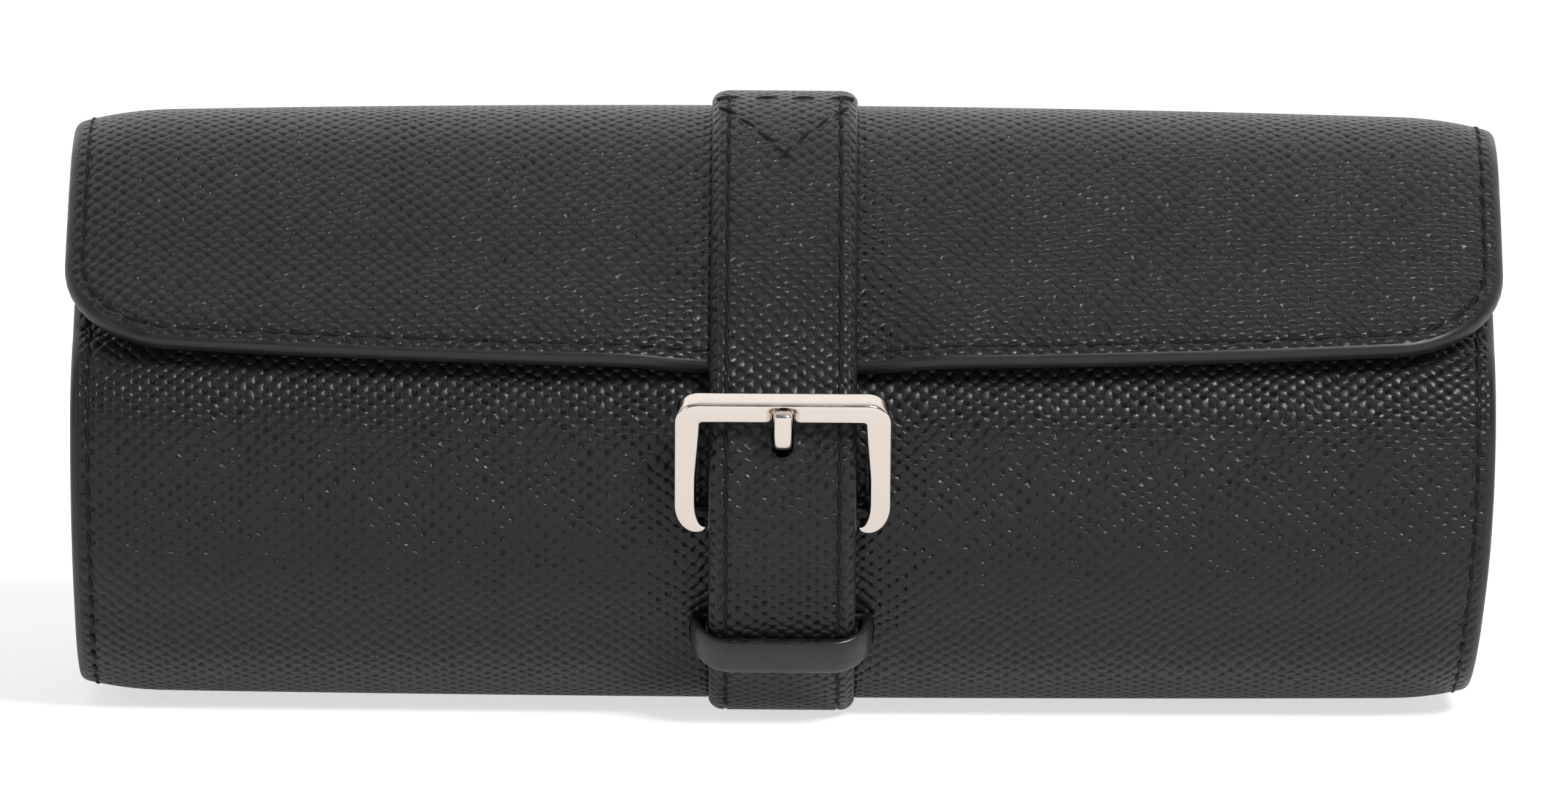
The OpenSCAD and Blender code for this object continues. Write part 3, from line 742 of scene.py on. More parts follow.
# edge of the strap, 2.4 mm thick: stitched groove, then leather that rounds over to the paint
STRAP_EDGE = [(2.95, 0.0, 0), (2.78, 0.08, 0), (2.6, 0.22, 0), (2.42, 0.1, 0), (2.2, 0.04, 0),
              (1.85, 0.06, 0), (1.45, 0.15, 0), (1.05, 0.32, 0), (0.72, 0.55, 0), (0.45, 0.82, 0),
              (0.3, 1.02, 0), (0.22, 1.12, 1), (0.1, 1.4, 1), (0.02, 1.7, 1), (0.03, 1.98, 1),
              (0.15, 2.2, 1), (0.4, 2.33, 1), (0.75, 2.39, 1), (0.9, 2.4, 2)]


def plain_edge(top, under, soft):
    """Edge of a single layer from depth top to under, with soft corners."""
    mid = (top + under) / 2
    return [(soft, top, 0), (soft * 0.3, top + soft * 0.3, 0), (0, top + soft, 0), (0, mid, 0),
            (0, under - soft, 0), (soft * 0.3, under - soft * 0.3, 0), (soft, under, 0)]


def in_mm(profile, shift=0.0):
    """A profile written in millimetres, moved inwards by shift."""
    return [((a + shift) * MM, d * MM, k) for a, d, k in profile]


def layer(name, trace, outline, top, under, inset, lay, mat, sign, pinch):
    """A hidden or inner layer of the wrap, from depth top to under, cut back by lay."""
    sheet = outline(inset)
    edge = in_mm(plain_edge(top, under, 0.25), lay)
    depth = top * MM
    made = sheet.build(name, inset, edge, under * MM, [material(mat)], 0, sign, pinch)
    count = sheet.x.size
    co = np.zeros(len(made.data.vertices) * 3)
    made.data.vertices.foreach_get("co", co)
    co = co.reshape(-1, 3)
    co[:count] = trace.place(sheet.x.ravel(), sheet.s.ravel(), depth, pinch)
    made.data.vertices.foreach_set("co", co.ravel())
    made.data.update()
    return made


class Parts:
    """What several operators share, worked out once."""

    def __init__(self):
        sizes = bpy.context.scene.watch_roll
        self.section = Section()
        self.body = Trace(self.section, self.section.body)
        self.flap = Trace(self.section, self.section.flap)
        self.strap = Trace(self.section, self.section.strap)
        self.chape = Trace(self.section, self.section.chape)
        self.sizes = sizes

    def settle(self, x, s):
        """The ends' pinch, less what the leather sags at the base beside the strap."""
        _, n = self.body.flat(s)
        half = self.sizes.strap_w / 2
        beside = ease(np.abs(x), half - 1.7 * MM, half + 0.2 * MM)
        sag = self.sizes.base_sag + 0.6 * self.sizes.barrel * (x / (self.sizes.body_len / 2)) ** 2
        return end_pinch(x, s) - sag * ease(-n[..., 1], 0.64, 1.0) * beside

    def flare(self, x, s):
        """The ends' pinch, less what the flap's edge stands off on both sides of the strap."""
        end, half = self.flap.length, self.sizes.strap_w / 2
        near = ease(s, end - 22 * MM, end - 1 * MM)
        beside = ease(np.abs(x), half + 0.5 * MM, half + 14 * MM)
        return end_pinch(x, s) - self.sizes.flap_flare * near * beside

    def body_sheet(self, inset):
        cols = body_columns(self.sizes.body_len / 2, inset)
        end = self.body.length - inset
        return Sheet(self.body, cols, lambda x: x * 0, lambda x: x * 0 + end, 170, False)

    def flap_sheet(self, inset):
        outline = FlapOutline(self.sizes, inset)
        end = self.flap.length
        return Sheet(self.flap, outline.columns(), lambda x: x * 0,
                     lambda x: end - outline.height(x), 60, False)

    def strap_sheet(self, inset):
        half, tip = self.sizes.strap_w / 2 - inset, self.sizes.tip_l - inset
        cols = half * np.sin(np.radians(np.linspace(-90, 90, 25)))
        end, corner = self.strap.length - inset, 0.35 * MM

        def low(x):
            over = np.clip(np.abs(x) - (half - corner), 0, corner)
            return inset + corner - np.sqrt(corner**2 - over**2)

        def high(x):
            return end - tip * (1 - np.sqrt(np.maximum(1 - (x / half) ** 2, 0)))

        return Sheet(self.strap, cols, low, high, 230, True)

    def chape_sheet(self, inset):
        half = self.sizes.strap_w / 2 - inset
        cols = half * np.sin(np.radians(np.linspace(-90, 90, 15)))
        end = self.chape.length - inset
        return Sheet(self.chape, cols, lambda x: x * 0 + inset, lambda x: x * 0 + end, 260, True)


def dress(made, body, slot, *nodes):
    """A finished piece takes the place of CAD nodes and moves with their body."""
    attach(made, body)
    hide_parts(*nodes)
    return made


class WRAP_OT_leather(bpy.types.Operator):
    """Cuts the grained leather, the board and the lining of the body and the flap"""

    bl_idname = "watch_roll.wrap"
    bl_label = "Wrap"

    def execute(self, context):
        parts = Parts()
        section = parts.section
        inset = PANEL_IN
        start = tuple(section.point(section.fold_start[0], section.fold_start[1], 0.0))
        end = tuple(section.point(section.fold_end[0], section.fold_end[1], 0.0))
        skins = [material("cross_grain_calf"), material("edge_paint"), material("smooth_calf")]
        for kind, trace, outline, sign, pinch, nodes in (
            ("body", parts.body, parts.body_sheet, -1, parts.settle, ["body_{}"]),
            ("flap", parts.flap, parts.flap_sheet, 1, parts.flare, ["flap_{}", "fold_{}"]),
        ):
            sheet = outline(inset * MM)
            leather = sheet.build(f"{kind}_leather", inset * MM, in_mm(PANEL_EDGE), 1.1 * MM, skins, 2,
                                  sign, pinch)
            board = layer(f"{kind}_stiffener", trace, outline, 1.12, 2.38, inset * MM, 1.4,
                          "grey_board", sign, pinch)
            lining = layer(f"{kind}_suede", trace, outline, 2.4, 3.4, inset * MM, 1.15,
                           "brushed_suede", sign, pinch)
            for made, layer_name, slot in ((leather, "outer", "grained_leather"),
                                           (lining, "lining", "suede"), (board, "board", "board")):
                if kind == "body":
                    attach(made, "body")
                else:
                    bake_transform(made)
                taken = [n.format(layer_name) for n in nodes]
                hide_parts(*[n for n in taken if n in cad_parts])
        return {"FINISHED"}


def cutter(name, verts, faces, index):
    """A closed mesh to cut with, whose cut faces take one material."""
    made = add_object(name, verts, faces, [], sharp=30)
    for _ in range(index + 1):
        made.data.materials.append(None)
    made.data.polygons.foreach_set("material_index", [index] * len(made.data.polygons))
    return made


def cut(made, tool):
    """Takes the tool's shape out of a piece."""
    modifier = made.modifiers.new("cut", "BOOLEAN")
    modifier.operation, modifier.object, modifier.solver = "DIFFERENCE", tool, "EXACT"
    applied(made)
    bpy.data.objects.remove(tool)
    return made


def prism(outline, base, across, up, out, depth):
    """Corner points and faces of an outline drawn on two axes and swept both ways along out."""
    n, verts = len(outline), []
    for side in (-1, 1):
        for a, b in outline:
            verts.append(base + across * a + up * b + out * side * depth)
    faces = [tuple(range(n))[::-1], tuple(range(n, 2 * n))]
    faces += [(i, (i + 1) % n, n + (i + 1) % n, n + i) for i in range(n)]
    return verts, faces


class STRAP_OT_strap(bpy.types.Operator):
    """Cuts the strap with its hole, and the leather that holds the buckle"""

    bl_idname = "watch_roll.strap"
    bl_label = "Strap"

    def execute(self, context):
        parts = Parts()
        sizes, section = parts.sizes, parts.section
        skins = [material("cross_grain_calf"), material("edge_paint"), material("smooth_calf")]
        inset = STRAP_IN * MM
        strap = parts.strap_sheet(inset).build("strap", inset, in_mm(STRAP_EDGE), sizes.strap_t, skins, 2)
        hole_a, hole_r = sizes.hole_a, sizes.hole_w / 2
        straight = sizes.hole_l / 2 - hole_r
        turns = [2 * math.pi * (i + 0.5) / 28 for i in range(28)]
        outline = [(hole_r * math.cos(t), hole_r * math.sin(t) + math.copysign(straight, math.sin(t)))
                   for t in turns]
        centre = section.bulge_c + section.bulge_r * direction(hole_a)
        base = section.point(centre[0], centre[1], 0.0)
        out = np.array([0, -math.cos(hole_a), math.sin(hole_a)])
        up = np.array([0, math.sin(hole_a), math.cos(hole_a)])
        verts, faces = prism(outline, base, np.array([1, 0, 0]), up, out, 5 * MM)
        cut(strap, cutter("hole", verts, faces, 1))
        dress(strap, "flap", "grained_leather", "strap_face", "strap_lining")

        inset = CHAPE_IN * MM
        edge = in_mm([(0.35, 0, 0), (0.1, 0.1, 1), (0, 0.3, 1), (0, 0.7, 1), (0.1, 0.9, 1), (0.35, 1.0, 1)])
        chape = parts.chape_sheet(inset).build(
            "buckle_leather", inset, edge, sizes.chape_t,
            [material("smooth_calf"), material("edge_paint")], 0)
        metal = bpy.context.scene.watch_roll_metal
        slot = metal.tongue_d / 2 + 0.3 * MM
        ring = [(math.cos(t) * (section.loop_r + 0.3 * MM), math.sin(t) * (section.loop_r + 0.3 * MM))
                for t in (2 * math.pi * i / 24 for i in range(24))]
        bar = section.point(section.bar[0], section.bar[1], 0.0)
        verts, faces = prism(ring, bar, np.array([0, 1, 0]), np.array([0, 0, 1]), np.array([1, 0, 0]), slot)
        cut(chape, cutter("slot", verts, faces, 1))
        dress(chape, "body", "smooth_leather", "chape")
        return {"FINISHED"}


def stitch_tree():
    """Geometry Nodes: one arched stitch at each pitch along a line, standing on the line's normals."""
    tree = bpy.data.node_groups.new("stitching", "GeometryNodeTree")
    face = tree.interface
    face.new_socket("Geometry", in_out="INPUT", socket_type="NodeSocketGeometry")
    for name, value in (("Pitch", 4.2), ("Stitch length", STITCH_L), ("Thread", 0.66), ("Rise", 0.3),
                        ("Sink", 0.3)):
        socket = face.new_socket(name, in_out="INPUT", socket_type="NodeSocketFloat")
        socket.default_value, socket.subtype = value * MM, "DISTANCE"
    socket = face.new_socket("Slant", in_out="INPUT", socket_type="NodeSocketFloat")
    socket.default_value, socket.subtype = math.radians(7), "ANGLE"
    face.new_socket("Material", in_out="INPUT", socket_type="NodeSocketMaterial")
    face.new_socket("Geometry", in_out="OUTPUT", socket_type="NodeSocketGeometry")
    given = add(tree, "NodeGroupInput").outputs
    line = add(tree, "GeometryNodeMeshToCurve", [(0, given["Geometry"])])
    spaced = add(tree, "GeometryNodeResampleCurve", [("Curve", line.outputs[0]), ("Length", given["Pitch"])],
                 mode="LENGTH")
    half = math_node(tree, "MULTIPLY", given["Stitch length"], 0.5)
    back = math_node(tree, "MULTIPLY", half, -1.0)
    low = math_node(tree, "MULTIPLY", given["Sink"], -1.0)
    ends = [add(tree, "ShaderNodeCombineXYZ", [(0, x), (2, z)]).outputs[0]
            for x, z in ((back, low), (0.0, given["Rise"]), (half, low))]
    arch = add(tree, "GeometryNodeCurveQuadraticBezier",
               [("Resolution", 8), ("Start", ends[0]), ("Middle", ends[1]), ("End", ends[2])])
    ring = add(tree, "GeometryNodeCurvePrimitiveCircle", [("Resolution", 7)], mode="RADIUS")
    radius = math_node(tree, "MULTIPLY", given["Thread"], 0.5)
    tree.links.new(radius, ring.inputs["Radius"])
    stitch = add(tree, "GeometryNodeCurveToMesh",
                 [("Curve", arch.outputs[0]), ("Profile Curve", ring.outputs[0]), ("Fill Caps", True)])
    tangent = add(tree, "GeometryNodeInputTangent").outputs[0]
    up = add(tree, "GeometryNodeInputNamedAttribute", [("Name", "up")], data_type="FLOAT_VECTOR").outputs[0]
    turn = add(tree, "FunctionNodeAxesToRotation", [("Primary Axis", up), ("Secondary Axis", tangent)],
               primary_axis="Z", secondary_axis="X").outputs[0]
    slant = add(tree, "FunctionNodeAxisAngleToRotation",
                [("Axis", (0, 0, 1)), ("Angle", given["Slant"])]).outputs[0]
    turn = add(tree, "FunctionNodeRotateRotation", [("Rotation", turn), ("Rotate By", slant)],
               rotation_space="LOCAL").outputs[0]
    row = add(tree, "GeometryNodeInstanceOnPoints",
              [("Points", spaced.outputs[0]), ("Instance", stitch.outputs[0]), ("Rotation", turn)])
    solid = add(tree, "GeometryNodeRealizeInstances", [(0, row.outputs[0])])
    smooth = add(tree, "GeometryNodeSetShadeSmooth", [("Geometry", solid.outputs[0])])
    dyed = add(tree, "GeometryNodeSetMaterial",
               [("Geometry", smooth.outputs[0]), ("Material", given["Material"])])
    add(tree, "NodeGroupOutput", [(0, dyed.outputs[0])])
    return tree


def sew(name, lines, stitch):
    """Stitches of one length along several lines, each of points and normals, as one mesh."""
    mesh = bpy.data.meshes.new(name)
    verts, edges, ups = [], [], []
    for points, normals in lines:
        first = len(verts)
        verts += [tuple(p) for p in points]
        ups += [tuple(n) for n in normals]
        edges += [(first + i, first + i + 1) for i in range(len(points) - 1)]
    mesh.from_pydata(verts, edges, [])
    attribute = mesh.attributes.new("up", "FLOAT_VECTOR", "POINT")
    attribute.data.foreach_set("vector", np.array(ups, np.float32).ravel())
    made = bpy.data.objects.new(name, mesh)
    bpy.context.scene.collection.objects.link(made)
    tree = bpy.data.node_groups.get("stitching") or stitch_tree()
    modifier = made.modifiers.new("stitching", "NODES")
    modifier.node_group = tree
    ids = {item.name: item.identifier for item in tree.interface.items_tree
           if item.item_type == "SOCKET" and item.in_out == "INPUT"}
    modifier[ids["Pitch"]] = bpy.context.scene.watch_roll.stitch_pitch
    modifier[ids["Stitch length"]] = stitch
    modifier[ids["Material"]] = material("waxed_thread")
    applied(made)
    return made


def run(trace, x, s, depth=0.0, pinch=None, step=0.6 * MM):
    """A finely drawn line through corner points given as x and s, with its normals."""
    xs, ss = [np.asarray(v, float) for v in (x, s)]
    gone = np.concatenate([[0], np.cumsum(np.hypot(np.diff(xs), np.diff(ss)))])
    t = np.linspace(0, gone[-1], max(2, int(gone[-1] / step)))
    x, s = np.interp(t, gone, xs), np.interp(t, gone, ss)
    return trace.place(x, s, depth, pinch), trace.outward(s)


class SEAMS_OT_stitches(bpy.types.Operator):
    """Sews every seam that shows, on the body, the flap, the strap and the buckle's leather"""

    bl_idname = "watch_roll.seams"
    bl_label = "Seams"

    def execute(self, context):
        parts = Parts()
        sizes, groove = parts.sizes, 0.12 * MM
        inset = PANEL_IN * MM
        x, s = parts.body_sheet(inset).ring(inset - SEAM_IN * MM)
        body = [run(parts.body, x, s, groove, parts.settle)]
        x, s = parts.flap_sheet(inset).ring(inset - SEAM_IN * MM)
        keep = s > sizes.fold_w
        flap = [run(parts.flap, x[keep], s[keep], groove, parts.flare)]
        half = sizes.strap_w / 2 - STRAP_SEAM_IN * MM
        top, tail, sunk = sizes.cross_row_s, parts.strap.length - sizes.tip_l, 0.08 * MM
        strap = [run(parts.strap, [-half, half], [top, top], 0.05 * MM)]
        for side in (-1, 1):
            strap.append(run(parts.strap, [side * half] * 2, [top, tail - 8 * MM], sunk))
            strap.append(run(parts.strap, [side * half] * 2, [tail - 8 * MM, tail], 0.5 * MM))
            strap.append(run(parts.strap, [side * half, 0], [sizes.vee_s, sizes.vee_tip_s], 0.05 * MM))
        tip, inner = sizes.tip_l - STRAP_SEAM_IN * MM, np.radians(np.linspace(0, 180, 41))
        strap.append(run(parts.strap, half * np.cos(inner), tail + tip * np.sin(inner), 0.5 * MM))
        end = parts.chape.length
        chape = [run(parts.chape, [-half, half, half, -half, -half],
                     [end - 2.4 * MM, end - 2.4 * MM, end - 9 * MM, end - 9 * MM, end - 2.4 * MM])]
        for name, lines, on, stitch in (("body_seam", body + chape, "body", STITCH_L * MM),
                                        ("flap_seam", flap, "flap", STITCH_L * MM),
                                        ("strap_seam", strap, "flap", STRAP_STITCH_L * MM)):
            made = sew(name, lines, stitch)
            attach(made, on)
        return {"FINISHED"}


def oval(cx, cy, rx, ry, a0, a1, n):
    """Points on an ellipse between two angles in degrees."""
    turns = [math.radians(a0 + (a1 - a0) * i / n) for i in range(n + 1)]
    return [(cx + rx * math.cos(t), cy + ry * math.sin(t)) for t in turns]


def arc(cx, cy, r, a0, a1, n):
    return oval(cx, cy, r, r, a0, a1, n)


class BUCKLE_OT_buckle(bpy.types.Operator):
    """Casts the buckle's frame and bends its tongue"""

    bl_idname = "watch_roll.buckle"
    bl_label = "Buckle"

    def execute(self, context):
        m, section = context.scene.watch_roll_metal, Section()
        base = section.point(section.bar[0], section.bar[1], 0.0)
        rise = np.array([0, -math.sin(m.tilt), math.cos(m.tilt)])
        out = np.array([0, -math.cos(m.tilt), -math.sin(m.tilt)])

        def place(p, z):
            return base + np.array([p[0], 0, 0]) + rise * p[1] + out * z

        strap_half = context.scene.watch_roll.strap_w / 2
        window = strap_half + m.arm_room
        half = window + m.arm_w
        heel_window = half - m.arm_heel_w
        top, foot = m.frame_l + m.top_w / 2, -m.heel_l
        c, sill, soft = m.corner, m.frame_l - m.top_w / 2, 0.5 * MM
        # each arm curls in at its foot to a blunt tip beside the strap
        tip_r, curl_in = 0.9 * MM, foot + m.curl_h + 0.6 * MM
        outer = oval(m.curl_w, foot + tip_r, m.curl_w - m.tip_in, tip_r, 180, 270, 5)
        outer += oval(m.curl_w, foot + m.curl_h, half - m.curl_w, m.curl_h, -90, 0, 11)[1:]
        inner = oval(m.tip_in, curl_in, heel_window - m.tip_in, curl_in - foot - 1.2 * MM, -90, 0,
                     len(outer) - 1)
        for t in np.linspace(0, 1, 14)[1:-1]:
            outer.append((half, foot + m.curl_h + (top - c - foot - m.curl_h) * t))
            wide = heel_window + (window - heel_window) * min(1, max(0, 1.5 * t - 0.5))
            inner.append((wide, curl_in + (sill - soft - curl_in) * t))
        outer += arc(half - c, top - c, c, 0, 90, 14)
        inner += arc(window - soft, sill - soft, soft, 0, 90, 14)
        for t in (0.25, 0.5, 0.75, 1.0):
            outer.append(((half - c) * (1 - t), top))
            inner.append(((window - soft) * (1 - t), sill))
        pairs = list(zip(outer, inner))
        pairs += [((-o[0], o[1]), (-i[0], i[1])) for o, i in reversed(pairs[:-1])]

        def thick(centre, k):
            share = min(1, max(0, (centre[1] - foot) / (top - foot)))
            full = m.heel_t + (m.frame_t - m.heel_t) * share
            return full / 2

        nickel = [material("polished_nickel_plate")]
        made = rail("buckle_frame_cast", pairs, thick, place, nickel, sides=40, power=5.5)
        # the seat in the top bar, in which the tongue's end lies
        seat_w, seat_top = m.tongue_w / 2 + 0.22 * MM, m.frame_l + m.top_w / 2 - 0.45 * MM
        outline = [(seat_w, sill - 1 * MM), (seat_w, seat_top - 1.2 * MM)]
        outline += oval(0, seat_top - 1.2 * MM, seat_w, 1.2 * MM, 0, 180, 16)[1:]
        outline.append((-seat_w, sill - 1 * MM))
        face = m.frame_t / 2
        verts, faces = prism(outline, place((0, 0), face), np.array([1, 0, 0]), rise, out,
                             m.tongue_seat + 0.35 * MM)
        cut(made, cutter("seat", verts, faces, 0))
        dress(made, "buckle", "polished_nickel", "buckle_frame")

        thick_t = m.tongue_d * 0.92
        over = face + thick_t / 2 - m.tongue_seat
        # it dips behind the strap, turns out through the hole and lies flat across the top bar
        knots = [(0, 0), (5.4 * MM, -1.5 * MM), (9.6 * MM, -2.0 * MM), (11.8 * MM, -1.1 * MM),
                 (13.2 * MM, 0.5 * MM), (14.4 * MM, over - 0.4 * MM), (15.6 * MM, over),
                 (17.8 * MM, over), (seat_top - 0.25 * MM, over)]
        line = smooth_line(knots, 72)
        start = next(i for i, p in enumerate(line) if p[0] > m.bar_r + 0.3 * MM)
        line = line[start:]
        verts, faces, sides = [], [], 20
        tip_l = 0.6 * MM
        total = len(line)
        for k, (y, z) in enumerate(line):
            a, b = line[max(k - 1, 0)], line[min(k + 1, total - 1)]
            d = np.array([b[0] - a[0], b[1] - a[1]])
            d /= np.linalg.norm(d)
            left = (line[-1][0] - y) / tip_l
            shrink = max(0.05, math.sqrt(1 - max(0.0, 1 - left) ** 2))
            grown = min(1, y / sill)
            wide = (m.tongue_d + (m.tongue_w - m.tongue_d) * grown) / 2 * max(shrink, 0.55)
            for i in range(sides):
                t = 2 * math.pi * (i + 0.5) / sides
                u = math.copysign(abs(math.cos(t)) ** 0.55, math.cos(t)) * wide
                w = math.copysign(abs(math.sin(t)) ** 0.55, math.sin(t)) * thick_t / 2 * shrink
                verts.append(place((u, y - d[1] * w), z + d[0] * w))
        for k in range(total - 1):
            for i in range(sides):
                j = (i + 1) % sides
                a, b = k * sides, (k + 1) * sides
                faces.append((a + i, a + j, b + j, b + i))
        faces.append(tuple(range(sides))[::-1])
        faces.append(tuple((total - 1) * sides + i for i in range(sides)))
        # the eye round the heel bar
        first = len(verts)
        turns, around = 32, 12
        ring_r, ring_t = m.bar_r + 0.45 * MM, 0.38 * MM
        for k in range(turns):
            t = 2 * math.pi * k / turns
            for i in range(around):
                q = 2 * math.pi * i / around
                r = ring_r + ring_t * math.copysign(abs(math.cos(q)) ** 0.6, math.cos(q))
                x = (m.tongue_d / 2) * math.copysign(abs(math.sin(q)) ** 0.6, math.sin(q))
                verts.append(place((x, r * math.cos(t)), r * math.sin(t)))
        for k in range(turns):
            for i in range(around):
                j, a, b = (i + 1) % around, first + k * around, first + (k + 1) % turns * around
                faces.append((a + i, a + j, b + j, b + i))
        tongue = add_object("tongue_cast", verts, faces, nickel, sharp=60)
        dress(tongue, "tongue", "polished_nickel", "buckle_tongue")
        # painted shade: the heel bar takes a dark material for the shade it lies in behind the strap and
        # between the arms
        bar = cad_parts["heel_bar"]
        bar.data.materials.clear()
        bar.data.materials.append(material("blued_steel"))
        return {"FINISHED"}


def smooth_line(knots, n):
    """A curve through the knots, leaving each along the line of its neighbours."""
    p = [np.array(k, float) for k in knots]
    p = [2 * p[0] - p[1], *p, 2 * p[-1] - p[-2]]
    made = []
    for i in range(1, len(p) - 2):
        steps = max(2, n // (len(p) - 3))
        for k in range(steps):
            t = k / steps
            a = 2 * p[i]
            b = p[i + 1] - p[i - 1]
            c = 2 * p[i - 1] - 5 * p[i] + 4 * p[i + 1] - p[i + 2]
            d = -p[i - 1] + 3 * p[i] - 3 * p[i + 1] + p[i + 2]
            made.append(tuple((a + b * t + c * t * t + d * t**3) / 2))
    made.append(tuple(p[-2]))
    return made


class KEEPER_OT_keeper(bpy.types.Operator):
    """Sews the keeper's loop of smooth leather"""

    bl_idname = "watch_roll.keeper"
    bl_label = "Keeper"

    def execute(self, context):
        m, section = context.scene.watch_roll_metal, Section()
        low, high = section.keeper_in, section.keeper_out + m.keeper_t
        half = context.scene.watch_roll.strap_w / 2 + m.keeper_room + m.keeper_t
        inner_half = half - m.keeper_t
        inner_low, inner_high = low + m.keeper_back_t, section.keeper_out
        front_r, inner_r, back_r = 6.6 * MM, 3.2 * MM, 1.5 * MM
        outer, inner = [], []
        corners = ((1, 1, 0), (-1, 1, 90), (-1, -1, 180), (1, -1, 270))
        for sx, sy, a in corners:
            r, ri = (front_r, inner_r) if sy > 0 else (back_r, 0.5 * MM)
            outer += arc(sx * (half - r), high - r if sy > 0 else low + r, r, a, a + 90, 8)
            iy = inner_high - ri if sy > 0 else inner_low + ri
            inner += arc(sx * (inner_half - ri), iy, ri, a, a + 90, 8)
        pairs = []
        for k, (o, i) in enumerate(zip(outer, inner)):
            pairs.append((o, i))
            if k % 9 == 8:
                o2, i2 = outer[(k + 1) % len(outer)], inner[(k + 1) % len(inner)]
                for t in (0.2, 0.4, 0.6, 0.8):
                    pairs.append((tuple(np.array(o) * (1 - t) + np.array(o2) * t),
                                  tuple(np.array(i) * (1 - t) + np.array(i2) * t)))

        def place(p, w):
            a = m.keeper_a + w / section.strap_out
            return section.point(p[1] * math.cos(a), p[1] * math.sin(a), p[0])

        made = rail("keeper_loop", pairs, lambda c, k: m.keeper_w / 2, place,
                    [material("smooth_calf"), material("burnished_edge")], closed=True, sides=36, power=3.6)
        # the cut edges, which face along the strap, are burnished
        along = np.array([0, math.sin(m.keeper_a), math.cos(m.keeper_a)])
        for face in made.data.polygons:
            if abs(np.dot(face.normal, along)) > 0.75:
                face.material_index = 1
        dress(made, "keeper", "smooth_leather", "keeper")
        return {"FINISHED"}


def points_of(made):
    co = np.zeros(len(made.data.vertices) * 3)
    made.data.vertices.foreach_get("co", co)
    return co.reshape(-1, 3)


def swell(made, held, cap, voxel):
    """Remeshes a closed piece evenly, then lets pressure swell its cloth, by no more than cap."""
    even = made.modifiers.new("even", "REMESH")
    even.mode, even.voxel_size = "VOXEL", voxel
    applied(made)
    start = points_of(made)
    group = made.vertex_groups.new(name="held")
    for i, weight in enumerate(held(start)):
        group.add([i], float(weight), "REPLACE")
    cloth = made.modifiers.new("swell", "CLOTH").settings
    cloth.use_pressure, cloth.uniform_pressure_force = True, 4
    cloth.effector_weights.gravity = 0
    cloth.vertex_group_mass = "held"
    for k in range(1, 21):
        bpy.context.scene.frame_set(k)
    applied(made)
    bpy.context.scene.frame_set(1)
    way = points_of(made) - start
    far = np.linalg.norm(way, axis=1, keepdims=True)
    way *= np.minimum(1, cap / np.maximum(far, 1e-9))
    made.data.vertices.foreach_set("co", (start + way).ravel())
    made.vertex_groups.clear()
    made.modifiers.new("soft", "SUBSURF").levels = 1
    applied(made)
    made.data.polygons.foreach_set("use_smooth", [True] * len(made.data.polygons))
    return made


class CUSHION_OT_cushion(bpy.types.Operator):
    """Fills the suede cushion: three bays, two dividers and two end pads"""

    bl_idname = "watch_roll.cushion"
    bl_label = "Cushion"

    def execute(self, context):
        section = Section()
        centre = (0.0, section.floor - section.cushion_drop)
        suede_skin = [material("brushed_suede")]
        c = context.scene.watch_roll_cushion
        bay, wall, face = c.bay, c.wall_t, c.cushion_l / 2

        def rumple(a, r, x):
            p = Vector((x * 60, math.cos(a) * 2.2, math.sin(a) * 2.2))
            return noise.noise(p) * 0.35 * MM

        profile = []
        reach = 1.5 * bay + wall
        for k in range(121):
            x = -reach + 2 * reach * k / 120
            offset = abs((x + 1.5 * (bay + wall)) % (bay + wall) - (bay + wall) / 2) / (bay / 2)
            profile.append((c.sleeve_r + 0.3 * c.crown * (1 - min(offset, 1) ** 4), x))
        profile += [(0.0, reach), (0.0, -reach)]
        sleeve = turned("cushion_sleeve_suede", profile, centre, suede_skin, 96)

        def held(co):
            """Sewn down at the dividers and end pads, free in the middle of each bay."""
            wide = np.abs((co[:, 0] + 1.5 * (bay + wall)) % (bay + wall) - (bay + wall) / 2)
            return ease(wide, bay / 2 - 5 * MM, bay / 2 - 1 * MM)

        swell(sleeve, held, 1.5 * c.crown, 4 * MM)
        dress(sleeve, "cushion", "suede", "cushion_sleeve", "cushion_core")
        rim, flank = 2.2 * MM, wall / 2 - 0.55 * MM
        for name, x, r0, r1 in (("end_pad_left", -(face - wall / 2), 0.0, c.end_r),
                                ("end_pad_right", face - wall / 2, 0.0, c.end_r),
                                ("divider_left", -(bay + wall) / 2, c.sleeve_r - 0.6 * MM, c.divider_r),
                                ("divider_right", (bay + wall) / 2, c.sleeve_r - 0.6 * MM, c.divider_r)):
            profile = []
            for side in (1, -1):
                rows = np.linspace(0, 1, 14)
                for t in rows if side > 0 else rows[::-1]:
                    r = r0 + (r1 - rim - r0) * t
                    puff = 0.45 * MM * math.sin(math.pi * min(1, t * 1.05)) ** 0.7
                    profile.append((r, x + side * (flank + puff)))
                if side > 0:
                    turns = np.linspace(0.15, math.pi - 0.15, 13)
                    profile += [(r1 - rim + rim * math.sin(q), x + flank * math.cos(q)) for q in turns]
            pad = turned(name + "_suede", profile, centre, suede_skin, 96, rumple)
            dress(pad, "cushion", "suede", name)
        return {"FINISHED"}


def aim(made, at, target):
    made.location = at
    made.rotation_euler = (Vector(target) - Vector(at)).to_track_quat("-Z", "Y").to_euler()


